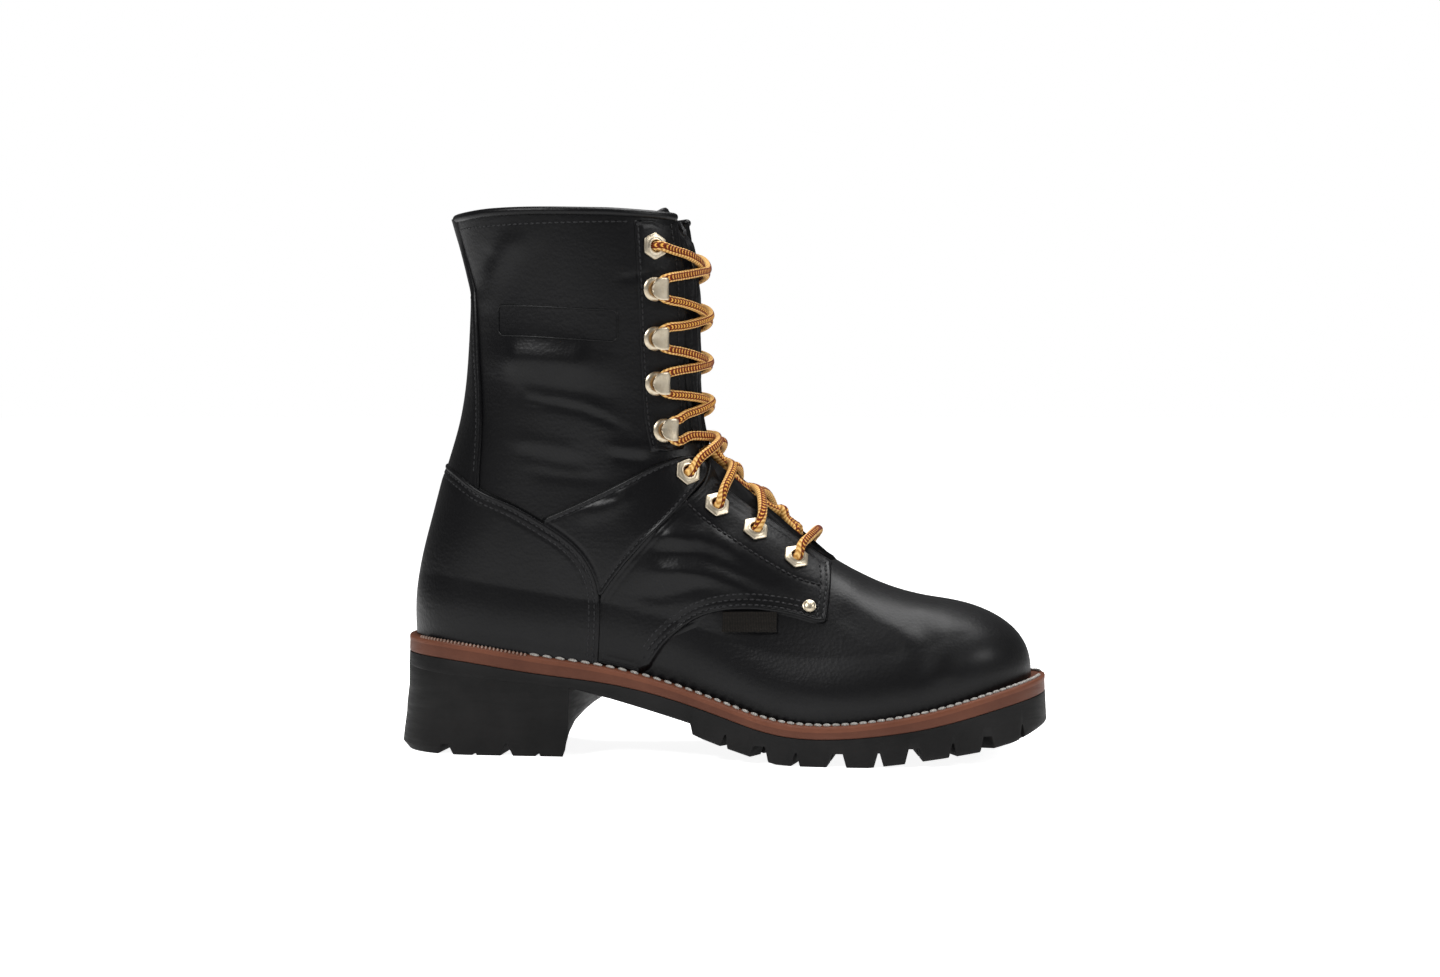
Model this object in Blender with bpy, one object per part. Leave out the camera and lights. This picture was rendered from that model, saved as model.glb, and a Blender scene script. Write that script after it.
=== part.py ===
"""A right-foot logger boot: laced nine-inch shaft, plain round toe, brown welt and midsole, lugged rubber
sole and a high heel. Run it with: blender --background --python part.py

The boot stands on Z = 0 with its toe along +X and its outer side along -Y. All tables are in millimetres,
and their x runs from the back of the heel. The upper, its overlays, the tongue and the lace all come from
one form, the last, which skin() gives as a half width at each place of the side view.
"""
import math

import bpy
import bmesh
import numpy as np

MM = 0.001

# Driving sizes, in millimetres
LENGTH = 310.0
HALF_LENGTH = LENGTH / 2
COLLAR_HEIGHT = 253.6
WALL = 2.2
OVERLAY = 1.5
FIT_GAP = 0.3
WELT_THICK = 3.0
WELT_INNER = 17.0
INSOLE_THICK = 3.0
UPPER_MARGIN = 6.4
HEEL_MARGIN = 6.0
PIPING_RADIUS = 2.0
LACE_RADIUS = 2.2

# Round ends of the sole, seen from above, and how far its toe swings to the inner side
HEEL_CENTRE = 42.0
TOE_CENTRE = 257.0
HEEL_POWER = 2.2
TOE_POWER = 2.35
TOE_SWING = 4.0

# Sole: place, outer and inner half width of its edge, half width of the upper at the instep, and the heights
# of the welt's top, of the brown band's underside and of the sole's underside, without heel and lugs
LAST = (
    # name, x, outer, inner, instep
    ("heel_back", 0, 37.0, 37.0, 35.0),
    ("seat", 42, 38.2, 38.2, 35.0),
    ("breast", 88, 38.0, 36.6, 35.0),
    ("waist", 124, 40.0, 35.0, 36.0),
    ("arch", 155, 45.5, 40.0, 37.0),
    ("ball_outer", 192, 53.6, 49.5, 40.0),
    ("ball_inner", 222, 55.4, 54.6, 46.0),
    ("toe_base", 255, 53.2, 53.0, 50.0),
    ("toe", 285, 49.0, 49.0, 49.0),
    ("tip", 310, 46.0, 46.0, 48.0),
)
WELT_TOP = (
    # name, x, z
    ("heel_back", 3, 55.4),
    ("seat", 30, 53.4),
    ("breast", 70, 47.4),
    ("shank", 105, 42.6),
    ("waist", 135, 35.8),
    ("arch", 162, 27.4),
    ("ball_back", 185, 20.6),
    ("ball", 208, 18.6),
    ("ball_front", 237, 21.2),
    ("toe_base", 262, 26.2),
    ("toe", 287, 33.2),
    ("tip", 310, 39.2),
)
BAND = (
    # name, x, height of the brown band
    ("heel_back", 0, 8.4),
    ("breast", 88, 8.0),
    ("waist", 124, 7.2),
    ("ball_back", 190, 6.2),
    ("ball", 220, 6.2),
    ("toe_base", 258, 7.2),
    ("tip", 310, 8.2),
)
TREAD = (
    # name, x, z of the sole's underside
    ("heel_back", 0, 40.4),
    ("breast", 90, 32.0),
    ("arch_back", 108, 27.8),
    ("arch", 126, 23.0),
    ("arch_front", 146.6, 17.4),
    ("lug_back", 147.8, 12.0),
    ("ball_back", 163, 7.0),
    ("ball_rise", 177, 3.0),
    ("ball_stand", 188, 0.4),
    ("stand_back", 196, 0.0),
    ("stand_front", 230, 0.0),
    ("toe_rise", 244, 1.5),
    ("toe_base", 262, 4.0),
    ("toe_low", 280, 6.6),
    ("toe", 296, 10.2),
    ("tip", 310, 16.5),
)

# Lug notches along the sole's edge, the same on both sides: place, width at the top, width at the bottom
LUG_DEPTH = 6.2
LUG_REACH = 17.0
LUG_GROOVE = 5.0
LUG_NOTCHES = (
    # x, top width, bottom width, how far the bottom leans back
    (163.5, 0.8, 4.2, 1.4),
    (179.6, 5.6, 9.2, 0.4),
    (197.0, 0.8, 4.4, 0.4),
    (215.7, 5.6, 9.2, 0.0),
    (235.0, 0.8, 4.4, 0.0),
    (251.0, 5.0, 8.2, 0.0),
    (268.5, 0.8, 4.0, 0.0),
    (284.0, 4.4, 7.4, 0.0),
    (299.5, 0.8, 3.4, 0.0),
)

# Heel block: heights with their outward flare and the place of the breast on the outer and inner side
HEEL_LEVELS = (
    # name, z, margin, back margin, breast at the outer side, breast at the inner side
    ("top", 99.0, 1.0, 3.4, 88.6, 93.0),
    ("upper_lift", 21.5, 0.8, 2.0, 88.0, 92.4),
    ("lift_line", 17.2, 0.9, 1.8, 87.9, 86.0),
    ("lower_lift", 10.0, 0.3, 0.8, 87.6, 77.5),
    ("edge", 3.4, 0.0, 0.0, 86.6, 72.0),
    ("rest", 0.0, 0.8, 3.2, 85.2, 69.0),
)
HEEL_NOTCHES = (
    # x, depth, top width, bottom width
    (28.3, 5.0, 3.6, 8.0),
    (42.9, 1.3, 0.6, 2.4),
    (58.4, 5.6, 1.0, 6.0),
    (73.3, 2.4, 0.5, 2.6),
)
HEEL_NOTCH_REACH = 14.0

# Top line of the closed last in the side view, from a point past the toe up to the collar
TOP_LINE = (
    # name, x, z, depth over which the side rounds, shift of the ridge to the inner side
    ("past_toe", 318, 70.3, 31.0, 0.0),
    ("toe_tip", 300, 71.2, 33.5, 0.0),
    ("toe_cap", 278, 72.2, 41.0, 0.5),
    ("cap_back", 258, 73.8, 47.5, 1.5),
    ("vamp_low", 238, 78.2, 52.0, 2.5),
    ("vamp", 219, 86.2, 55.0, 2.5),
    ("throat", 204, 95.4, 54.0, 2.0),
    ("instep_low", 188, 108.0, 50.0, 1.5),
    ("instep", 172, 119.4, 48.0, 1.0),
    ("instep_high", 159, 131.0, 48.0, 0.5),
    ("ankle_front", 150.5, 145.0, 50.0, 0.0),
    ("shin_low", 146.6, 163.0, 53.0, 0.0),
    ("shin", 145.4, 190.0, 54.0, 0.0),
    ("shin_high", 145.2, 218.0, 55.0, 0.0),
    ("collar", 142.0, 246.0, 56.0, 0.0),
    ("past_collar", 137.6, 272.0, 56.0, 0.0),
)

# Back line of the last in the side view, with the depth over which the back rounds and the shaft's half width
BACK_LINE = (
    # name, z, x, depth, half width
    ("feather", 52, 9.4, 33.5, 35.0),
    ("heel", 72, 9.2, 34.5, 35.0),
    ("counter", 92, 12.2, 36.0, 35.0),
    ("counter_top", 112, 17.4, 40.0, 35.5),
    ("ankle", 134, 23.4, 45.0, 36.0),
    ("ankle_high", 154, 29.4, 50.0, 37.5),
    ("calf_low", 175, 33.2, 52.0, 39.0),
    ("calf", 198, 35.0, 54.0, 40.5),
    ("calf_high", 219, 35.2, 55.0, 42.5),
    ("flare", 237, 31.6, 57.0, 44.5),
    ("collar", 254, 26.6, 58.0, 46.0),
    ("past_collar", 272, 20.5, 58.0, 47.0),
)

# Sections through the upper: distance along its front edge, height at the back, share of the sole's sag
SECTIONS = (
    # name, front, back, sag, rings up to the next section
    ("feather", 0, 55.4, 1.0, 2),
    ("toe_wall", 22, 60.0, 0.92, 2),
    ("toe_top", 52, 66.0, 0.75, 2),
    ("vamp", 84, 75.0, 0.50, 2),
    ("throat", 116, 90.0, 0.24, 3),
    ("instep", 158, 116.0, 0.05, 2),
    ("ankle", 192, 148.0, 0.0, 2),
    ("calf", 240, 200.0, 0.0, 2),
    ("flare", 275, 232.0, 0.0, 1),
    ("collar", 300, COLLAR_HEIGHT, 0.0, 0),
)
THROAT_GAP = (
    # name, distance along the front edge, half width of the gap
    ("toe", 0, 8.0),
    ("vamp", 84, 8.0),
    ("throat", 116, 8.5),
    ("instep", 158, 13.0),
    ("ankle", 192, 16.0),
    ("calf", 240, 18.0),
    ("collar", 300, 18.5),
)
COLUMNS = 18
GAP_COLUMNS = 2
TONGUE_COLUMNS = 3
TONGUE_THICK = 2.6
TONGUE_DROP = 1.7
TONGUE_TOP_DROP = 3.0

# Outlines of the overlays in the side view: x, z
COUNTER_EDGE = (
    (102.0, 44.0), (103.2, 58.0), (103.2, 74.0), (101.6, 84.0), (96.5, 94.0), (87.0, 103.2), (75.0, 110.8),
    (61.0, 118.6), (45.0, 125.6), (31.0, 134.0), (19.0, 138.4),
)
BACKSTAY_EDGE = (
    (44.6, 133.0), (44.8, 166.0), (42.8, 188.0), (40.2, 212.0), (34.6, 234.0), (31.0, 247.0), (30.4, 252.0),
)
STRAP_TOP_EDGE = ((75.6, 111.8), (98.0, 121.6), (121.0, 133.2), (137.0, 140.4), (143.5, 141.0), (148.6, 138.6))
STRAP_END = ((150.6, 134.0), (149.6, 128.8))
STRAP_LOW_EDGE = ((141.0, 117.8), (124.0, 100.0), (110.0, 83.8), (104.0, 75.6))
QUARTER_EDGE = (
    (127.0, 44.0), (133.0, 52.6), (141.0, 60.2), (151.0, 66.6), (164.0, 69.8), (178.0, 69.8), (192.0, 67.6),
    (204.0, 64.4), (209.4, 65.6), (210.0, 74.0), (209.4, 86.0), (206.0, 97.0), (203.0, 108.0),
)
EDGE_GAP = 0.45

# Metal pieces in the side view, from the lowest up: x, z
EYELETS = ((193.0, 93.0), (174.0, 106.0), (156.0, 117.5), (142.0, 133.0), (128.0, 239.0))
HOOKS = ((132.0, 153.0), (128.4, 175.0), (128.0, 196.0), (128.0, 219.0))
RIVET = (201.0, 71.2)
TAG = (174.0, 63.8)
EYELET_RADIUS = 6.6
EYELET_HOLE = 2.7
EYELET_THICK = 1.1
HOOK_BASE = 5.6
HOOK_PLATE = 1.0
HOOK_ROOM = 4.8
HOOK_WIDTH = 9.6
RIVET_RADIUS = 3.0
RIVET_HEIGHT = 1.4
TAG_LENGTH = 25.0
TAG_HEIGHT = 7.6
TAG_THICK = 0.8

# Lace crossings from the lowest up. A strand starts on one side and ends on the other: height on the ridge
# beside it, distance from the middle, lift over the last. Then the height on the ridge where the strands cross
CROSSINGS = (
    # name, start ridge z, start offset, start lift, end ridge z, end offset, end lift, crossing z
    ("vamp", 105.6, 5.4, 1.0, 118.0, 5.4, 1.0, 112.0),
    ("instep_low", 114.6, 20.6, 6.4, 130.0, 5.8, 1.0, 122.5),
    ("instep", 127.6, 21.6, 6.4, 144.0, 7.0, 1.0, 135.0),
    ("ankle", 141.4, 22.0, 6.4, 151.6, 21.0, 3.4, 148.0),
    ("shin_low", 161.0, 21.6, 3.4, 170.0, 22.6, 3.4, 166.0),
    ("shin", 181.6, 22.8, 3.4, 190.2, 23.2, 3.4, 185.0),
    ("shin_high", 202.0, 23.6, 3.4, 213.4, 24.2, 3.4, 207.0),
    ("collar", 226.0, 24.4, 3.0, 239.0, 27.4, 3.2, 229.0),
)
LOW_STRAND = 1.7
HIGH_STRAND = 3.9
BAR = (100.6, 21.0, 6.4)
LACE_SIDES = 5
LACE_STEPS = 3


def spline(places, values):
    """A natural cubic spline through the values, drawn out straight past its ends."""
    places = np.asarray(places, float)
    values = np.asarray(values, float)
    count = len(places)
    step = np.diff(places)
    matrix = np.eye(count)
    right = np.zeros(count)
    for i in range(1, count - 1):
        matrix[i, i - 1 : i + 2] = step[i - 1], 2 * (step[i - 1] + step[i]), step[i]
        right[i] = 6 * ((values[i + 1] - values[i]) / step[i] - (values[i] - values[i - 1]) / step[i - 1])
    bend = np.linalg.solve(matrix, right)

    def at(query):
        query = np.asarray(query, float)
        held = np.clip(query, places[0], places[-1])
        i = np.clip(np.searchsorted(places, held, side="right") - 1, 0, count - 2)
        h = step[i]
        a = (places[i + 1] - held) / h
        b = (held - places[i]) / h
        inside = a * values[i] + b * values[i + 1]
        inside = inside + ((a**3 - a) * bend[i] + (b**3 - b) * bend[i + 1]) * h * h / 6
        slope = (values[i + 1] - values[i]) / h
        slope = slope + ((3 * b * b - 1) * bend[i + 1] - (3 * a * a - 1) * bend[i]) * h / 6
        return inside + slope * (query - held)

    return at


def polyline(places, values):
    """Straight lines between the values."""
    return lambda query: np.interp(query, places, values)


def columns(rows):
    """The numbers of a table, one array for each column after the names."""
    return np.array([row[1:] for row in rows], float).T


def smooth(share):
    share = np.clip(share, 0, 1)
    return share * share * (3 - 2 * share)


last_x, outer_half, inner_half, instep_half = columns(LAST)
outer_edge = spline(last_x, outer_half)
inner_edge = spline(last_x, inner_half)
instep_width = spline(last_x, instep_half)
welt_top = spline(*columns(WELT_TOP))
band_height = spline(*columns(BAND))
tread = polyline(*columns(TREAD))
back_z, back_x, back_depth, shaft_half = columns(BACK_LINE)
back_line = spline(back_z, back_x)
back_round = spline(back_z, back_depth)
shaft_width = spline(back_z, shaft_half)

top_x, top_z, top_depth, top_shift = columns(TOP_LINE)
top_run = np.concatenate([[0], np.cumsum(np.hypot(np.diff(top_x), np.diff(top_z)))])
TOP_SAMPLES = 260
run_fine = np.linspace(0, top_run[-1], TOP_SAMPLES)
top_fine = np.stack([spline(top_run, top_x)(run_fine), spline(top_run, top_z)(run_fine)], -1)
depth_along = spline(top_run, top_depth)
shift_along = spline(top_run, top_shift)


def swing(x):
    """How far the sole's middle line lies to the inner side."""
    return TOE_SWING * smooth((np.asarray(x, float) - 212) / 98)


def below_top(x, z):
    """Depth of a point of the side view below the top line, and the run along that line beside it."""
    points = np.stack(np.broadcast_arrays(x, z), -1).reshape(-1, 2)
    legs = np.diff(top_fine, axis=0)
    away = points[:, None] - top_fine[:-1][None]
    share = np.clip((away * legs).sum(-1) / (legs**2).sum(-1), 0, 1)
    gap = away - share[..., None] * legs
    nearest = (gap**2).sum(-1).argmin(1)
    rows = np.arange(len(points))
    leg = legs[nearest]
    offset = gap[rows, nearest]
    side = np.sign(leg[:, 0] * offset[:, 1] - leg[:, 1] * offset[:, 0])
    depth = side * np.hypot(offset[:, 0], offset[:, 1])
    run = run_fine[nearest] + share[rows, nearest] * (run_fine[1] - run_fine[0])
    shape = np.broadcast(x, z).shape
    return depth.reshape(shape), run.reshape(shape)


def form(x, z):
    """Full half width, middle, room left of it by the round ends, and the power of their curve."""
    x, z = np.broadcast_arrays(np.asarray(x, float), np.asarray(z, float))
    height = z - welt_top(x)
    margin = HEEL_MARGIN + (UPPER_MARGIN - HEEL_MARGIN) * smooth((x - 60) / 80)
    outer = outer_edge(x) - margin
    inner = inner_edge(x) - margin
    foot = (outer + inner) / 2
    foot = foot + (instep_width(x) - foot) * smooth(height / 62)
    foot = foot + 1.9 * np.sin(math.pi * np.clip(height / 30, 0, 1)) * smooth(height / 8)
    leg = smooth((z - 84) / 66)
    wide = foot * (1 - leg) + shaft_width(z) * leg
    depth, run = below_top(x, z)
    over = np.clip(1 - depth / depth_along(run), 0, 2)
    toe = np.clip((x - TOE_CENTRE) / (LENGTH - TOE_CENTRE - UPPER_MARGIN - 1.2), 0, 2)
    heel = np.clip(1 - (x - back_line(z)) / back_round(z), 0, 2)
    power = 2.15 + 0.2 * smooth((x - 190) / 60)
    room = 1 - toe**power - over**power - heel**HEEL_POWER
    bare = 1 - np.clip(over, 0, 1)
    middle = ((inner - outer) / 2 * bare + swing(x)) * (1 - leg) + shift_along(run) * (1 - bare)
    return wide, middle, room, power


def skin(x, z):
    """Half width of the last at a place of the side view, and how far its middle lies to the inner side."""
    wide, middle, room, power = form(x, z)
    return wide * np.clip(room, 0, 1) ** (1 / power), middle


def outward(points):
    """Unit normals of the last at points on it."""
    points = np.asarray(points, float)

    def level(p):
        wide, middle, room, power = form(p[..., 0], p[..., 2])
        return (np.abs(p[..., 1] - middle) / wide) ** power - room

    step = 0.05
    slopes = [level(points + step * axis) - level(points - step * axis) for axis in np.eye(3)]
    normal = np.stack(slopes, -1)
    return normal / np.linalg.norm(normal, axis=-1, keepdims=True)


def on_skin(x, z, side, lift=0.0):
    """Point over the last at a place of the side view. Side is -1 for the outer and 1 for the inner side."""
    half, middle = skin(x, z)
    point = np.stack([np.asarray(x, float), middle + side * half, np.asarray(z, float)], -1)
    return point + outward(point) * lift


def toe_height(x):
    """Height of the toe's outline in the side view, where the last's half width comes to nothing."""
    low = float(welt_top(x))
    high = 80.0
    for _ in range(40):
        mid = (low + high) / 2
        if float(skin(x, mid)[0]) > 0:
            low = mid
        else:
            high = mid
    return low


def front_edge():
    """The upper's front outline in the side view: up the toe, over it and on to the collar."""
    reach = LENGTH - TOE_CENTRE - UPPER_MARGIN - 1.2
    points = [(TOE_CENTRE + reach, float(welt_top(TOE_CENTRE + reach)))]
    for turn in np.linspace(0, math.pi / 2, 26)[1:-1]:
        x = TOE_CENTRE + reach * math.cos(turn) ** (2 / TOE_POWER)
        points.append((x, toe_height(x)))
    rest = top_fine[(top_fine[:, 0] < TOE_CENTRE - 1) & (top_fine[:, 1] < COLLAR_HEIGHT + 12)]
    return np.array(points + [tuple(p) for p in rest])


FRONT = front_edge()
FRONT_RUN = np.concatenate([[0], np.cumsum(np.hypot(*np.diff(FRONT, axis=0).T))])


def front_at(run):
    return np.array([np.interp(run, FRONT_RUN, FRONT[:, 0]), np.interp(run, FRONT_RUN, FRONT[:, 1])])


def run_at_height(z):
    """Distance along the front edge at which the instep or shin reaches a height."""
    return float(np.interp(z, FRONT[30:, 1], FRONT_RUN[30:]))


def section_line(run, back, sag):
    """Height of one section through the upper as a function of x, and its two ends in the side view."""
    x0 = float(back_line(back))
    x1, z1 = front_at(run)
    foot0, foot1 = float(welt_top(x0)), float(welt_top(x1))

    def height(x):
        share = (x - x0) / (x1 - x0)
        chord = back + (z1 - back) * share
        return chord + sag * (welt_top(x) - foot0 - (foot1 - foot0) * share)

    return height, x0, x1


def x_at_half_width(height, x0, x1, half):
    """Place along a section, near its front end, where the last is that far from its middle."""
    low, high = x1 - 0.42 * (x1 - x0), x1
    for _ in range(40):
        mid = (low + high) / 2
        if float(skin(mid, height(mid))[0]) > half:
            low = mid
        else:
            high = mid
    return low


def rings():
    """Front run, back height and sag of every ring, and the number of the throat's ring."""
    runs = []
    throat = 0
    for row, following in zip(SECTIONS, SECTIONS[1:]):
        if row[0] == "throat":
            throat = len(runs)
        for step in range(row[4]):
            runs.append(row[1] + (following[1] - row[1]) * step / row[4])
    runs.append(run_at_height(COLLAR_HEIGHT))
    run, back, sag, _ = columns(SECTIONS)
    run[-1] = runs[-1]
    return np.array(runs), spline(run, back)(runs), np.interp(runs, run, sag), throat


def normals_of(grid):
    """Outward normals of a closed grid of rings."""
    around = np.roll(grid, -1, 1) - np.roll(grid, 1, 1)
    up = np.empty_like(grid)
    up[1:-1] = grid[2:] - grid[:-2]
    up[0] = grid[1] - grid[0]
    up[-1] = grid[-1] - grid[-2]
    normal = np.cross(around, up)
    return normal / np.linalg.norm(normal, axis=-1, keepdims=True)


def last_grid():
    """The last as rings of points with their normals. Each ring runs back, outer side, front, inner side."""
    runs, backs, sags, throat = rings()
    gap_run, gap_half = columns(THROAT_GAP)
    grid = []
    for run, back, sag in zip(runs, backs, sags):
        height, x0, x1 = section_line(run, back, sag)
        x_gap = x_at_half_width(height, x0, x1, float(np.interp(run, gap_run, gap_half)))
        x_side = x0 + (x_gap - x0) * stations(COLUMNS - GAP_COLUMNS)
        x_front = x1 - (x1 - x_gap) * (1 - np.arange(1, GAP_COLUMNS + 1) / GAP_COLUMNS) ** 2
        x = np.concatenate([x_side, x_front])
        z = height(x)
        half, middle = skin(x, z)
        half[0] = half[-1] = 0
        outer = np.stack([x, middle - half, z], -1)
        inner = np.stack([x, middle + half, z], -1)
        grid.append(np.concatenate([outer, inner[-2:0:-1]]))
    grid = np.array(grid)
    return grid, normals_of(grid), throat


def stations(count):
    """Shares from 0 to 1, closer together near both ends."""
    return (1 - np.cos(np.linspace(0, math.pi, count + 1))) / 2


def to_world(points):
    moved = np.array(points, float)
    moved[..., 0] -= HALF_LENGTH
    return moved * MM


def material(name, colour, roughness, metallic=0.0):
    made = bpy.data.materials.get(name) or bpy.data.materials.new(name)
    made.use_nodes = True
    shader = made.node_tree.nodes["Principled BSDF"]
    shader.inputs["Base Color"].default_value = (*colour, 1)
    shader.inputs["Roughness"].default_value = roughness
    shader.inputs["Metallic"].default_value = metallic
    made.diffuse_color = (*colour, 1)
    return made


def add_mesh(name, points, faces, finish=None, smooth_angle=35):
    """Adds one object made of points in table millimetres, its faces turned outwards. No finish: a helper."""
    mesh = bpy.data.meshes.new(name)
    mesh.from_pydata([tuple(p) for p in to_world(points)], [], [tuple(f) for f in faces])
    work = bmesh.new()
    work.from_mesh(mesh)
    bmesh.ops.remove_doubles(work, verts=work.verts, dist=1e-6)
    bmesh.ops.recalc_face_normals(work, faces=work.faces)
    if work.calc_volume(signed=True) < 0:
        bmesh.ops.reverse_faces(work, faces=work.faces)
    work.to_mesh(mesh)
    work.free()
    item = bpy.data.objects.new(name, mesh)
    bpy.context.scene.collection.objects.link(item)
    if finish is None:
        item.hide_render = True
        item.display_type = "WIRE"
    else:
        mesh.materials.append(finish)
        mesh.shade_smooth()
        mesh.set_sharp_from_angle(angle=math.radians(smooth_angle))
    return item


def combine(item, tool, operation):
    step = item.modifiers.new(tool.name, "BOOLEAN")
    step.operation = operation
    step.solver = "EXACT"
    step.object = tool


def wall_between(outer, inner, kept):
    """Points and faces of a wall between two grids of rings, over the cells that are kept."""
    rows, count = outer.shape[:2]
    points = np.concatenate([outer.reshape(-1, 3), inner.reshape(-1, 3)])
    lower = rows * count
    faces = []
    edges = set()
    for r in range(rows - 1):
        for c in range(count):
            if not kept(r, c):
                continue
            d = (c + 1) % count
            cell = [r * count + c, r * count + d, (r + 1) * count + d, (r + 1) * count + c]
            for corners in ((0, 1, 2), (0, 2, 3)):
                faces.append([cell[k] for k in corners])
                faces.append([cell[k] + lower for k in reversed(corners)])
            edges.update(zip(cell, cell[1:] + cell[:1]))
    faces += [[b, a, a + lower, b + lower] for a, b in sorted(edges) if (b, a) not in edges]
    used = sorted({i for face in faces for i in face})
    renamed = {old: new for new, old in enumerate(used)}
    return points[used], [[renamed[i] for i in face] for face in faces]


def prism_faces(count):
    """Faces of a prism whose first and second half of points are its two ends."""
    sides = [[i, (i + 1) % count, (i + 1) % count + count, i + count] for i in range(count)]
    return sides + [list(range(count))[::-1], list(range(count, 2 * count))]


def side_prism(name, outline, low, high):
    """A helper: an outline of the side view drawn out from one y to another."""
    points = [(x, y, z) for y in (low, high) for x, z in outline]
    return add_mesh(name, points, prism_faces(len(outline)))


def in_gap(column):
    return COLUMNS - GAP_COLUMNS <= column < COLUMNS + GAP_COLUMNS


def make_upper(grid, normals, throat, finish):
    outer = grid.copy()
    inner = grid - normals * WALL
    inner[0, :, 2] = outer[0, :, 2]
    inner[-1, :, 2] = outer[-1, :, 2]
    outer[0, :, 2] += FIT_GAP
    inner[0, :, 2] += FIT_GAP
    points, faces = wall_between(outer, inner, lambda r, c: r < throat or not in_gap(c))
    return add_mesh("upper", points, faces, finish)


def make_overlay(name, grid, normals, outline, sides, finish, first_row=0, last_row=99):
    """A layer on the upper, cut out of the shell between two larger forms by its outline in the side view."""
    low = grid + normals * FIT_GAP
    high = grid + normals * (FIT_GAP + OVERLAY)
    low[0, :, 2] = high[0, :, 2] = grid[0, :, 2] + FIT_GAP
    low[-1, :, 2] = high[-1, :, 2] = grid[-1, :, 2]

    def kept(row, column):
        on_side = {0: True, -1: column < COLUMNS, 1: column >= COLUMNS}[sides]
        return on_side and not in_gap(column) and first_row <= row <= last_row

    points, faces = wall_between(low, high, kept)
    item = add_mesh(name, points, faces, finish)
    combine(item, side_prism(name + "_cutter", outline, -90, 90), "INTERSECT")
    return item


def make_overlays(grid, normals, leather):
    counter = [(-20, 30), (102.0, 30)] + list(COUNTER_EDGE) + [(-20, 142.0)]
    make_overlay("counter", grid, normals, counter, 0, leather, last_row=12)
    above = [(x, z + EDGE_GAP + 0.2) for x, z in COUNTER_EDGE if x < BACKSTAY_EDGE[0][0]]
    backstay = [(-20, 142.7)] + above[::-1] + [(x, z) for x, z in BACKSTAY_EDGE] + [(-20, 252.0)]
    make_overlay("backstay", grid, normals, backstay, 0, leather, first_row=8)
    beside = [(x + EDGE_GAP, z + EDGE_GAP) for x, z in COUNTER_EDGE if 74 < x and z > 76]
    strap = list(STRAP_TOP_EDGE + STRAP_END + STRAP_LOW_EDGE) + beside
    below = [(x + 0.4, z - EDGE_GAP - 0.2) for x, z in STRAP_END + STRAP_LOW_EDGE[:-1]]
    front = [(STRAP_END[0][0] + 0.6, STRAP_END[0][1]), (152.0, 150.0)]
    start = [(102.6, 30), (102.6, 44), (103.8, 58), (103.8, 73.6)]
    quarter = start + below[::-1] + front + [(190.0, 150.0)] + list(QUARTER_EDGE)[::-1] + [(127.0, 30)]
    for side, label in ((-1, "lateral"), (1, "medial")):
        make_overlay("strap_" + label, grid, normals, strap, side, leather, 6, 14)
        make_overlay("quarter_" + label, grid, normals, quarter, side, leather, 0, 13)


def make_tongue(grid, normals, throat, finish):
    """The tongue: under the edges of the throat, and swelling a little between them."""
    columns_used = range(COLUMNS - GAP_COLUMNS - TONGUE_COLUMNS, COLUMNS + GAP_COLUMNS + TONGUE_COLUMNS + 1)
    under = WALL + 2 * FIT_GAP
    outer, inner = [], []
    for row in range(throat - 1, len(grid)):
        swell = 0.0 if row <= throat else 1.0
        for c in columns_used:
            share = swell * max(0.0, 1 - abs(c - COLUMNS) / GAP_COLUMNS)
            drop = under - (under - TONGUE_DROP) * share
            point = grid[row, c].copy()
            if row == len(grid) - 1:
                point[2] -= TONGUE_TOP_DROP
            outer.append(point - normals[row, c] * drop)
            inner.append(point - normals[row, c] * (drop + TONGUE_THICK))
    count = len(columns_used)
    rows = len(outer) // count
    outer = np.array(outer).reshape(rows, count, 3)
    inner = np.array(inner).reshape(rows, count, 3)
    points, faces = wall_between(outer, inner, lambda r, c: c < count - 1)
    return add_mesh("tongue", points, faces, finish)


def outline_loop(side, back, toe, height, shares, start=0.0):
    """A closed loop inside the sole's edge: along the outer side to the toe and back along the inner side."""
    x0 = max(back, start)
    x = x0 + (LENGTH - toe - x0) * np.asarray(shares)
    front = np.clip((x - TOE_CENTRE) / (LENGTH - toe - TOE_CENTRE), 0, 1)
    rear = np.clip((HEEL_CENTRE - x) / (HEEL_CENTRE - back), 0, 1)
    room = (1 - front**TOE_POWER) ** (1 / TOE_POWER) * (1 - rear**HEEL_POWER) ** (1 / HEEL_POWER)
    z = height(x)
    outer = np.stack([x, swing(x) - (outer_edge(x) - side) * room, z], -1)
    inner = np.stack([x, swing(x) + (inner_edge(x) - side) * room, z], -1)
    return np.concatenate([outer, inner[-2:0:-1]])


def loops_solid(loops, ring=False):
    """Faces between loops of equal length. The ends are closed by strips, unless the loops form a ring."""
    count = len(loops[0])
    half = count // 2
    points = np.concatenate(loops)
    faces = []
    pairs = list(zip(range(len(loops)), range(1, len(loops))))
    if ring:
        pairs.append((len(loops) - 1, 0))
    for a, b in pairs:
        for i in range(count):
            j = (i + 1) % count
            faces.append([a * count + i, a * count + j, b * count + j, b * count + i])
    if not ring:
        for k in (0, len(loops) - 1):
            base = k * count
            faces.append([base, base + 1, base + count - 1])
            for i in range(1, half - 1):
                faces.append([base + i, base + i + 1, base + count - i - 1, base + count - i])
            faces.append([base + half - 1, base + half, base + half + 1])
    return points, faces


def band_low(x):
    return welt_top(x) - band_height(x)


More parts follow.
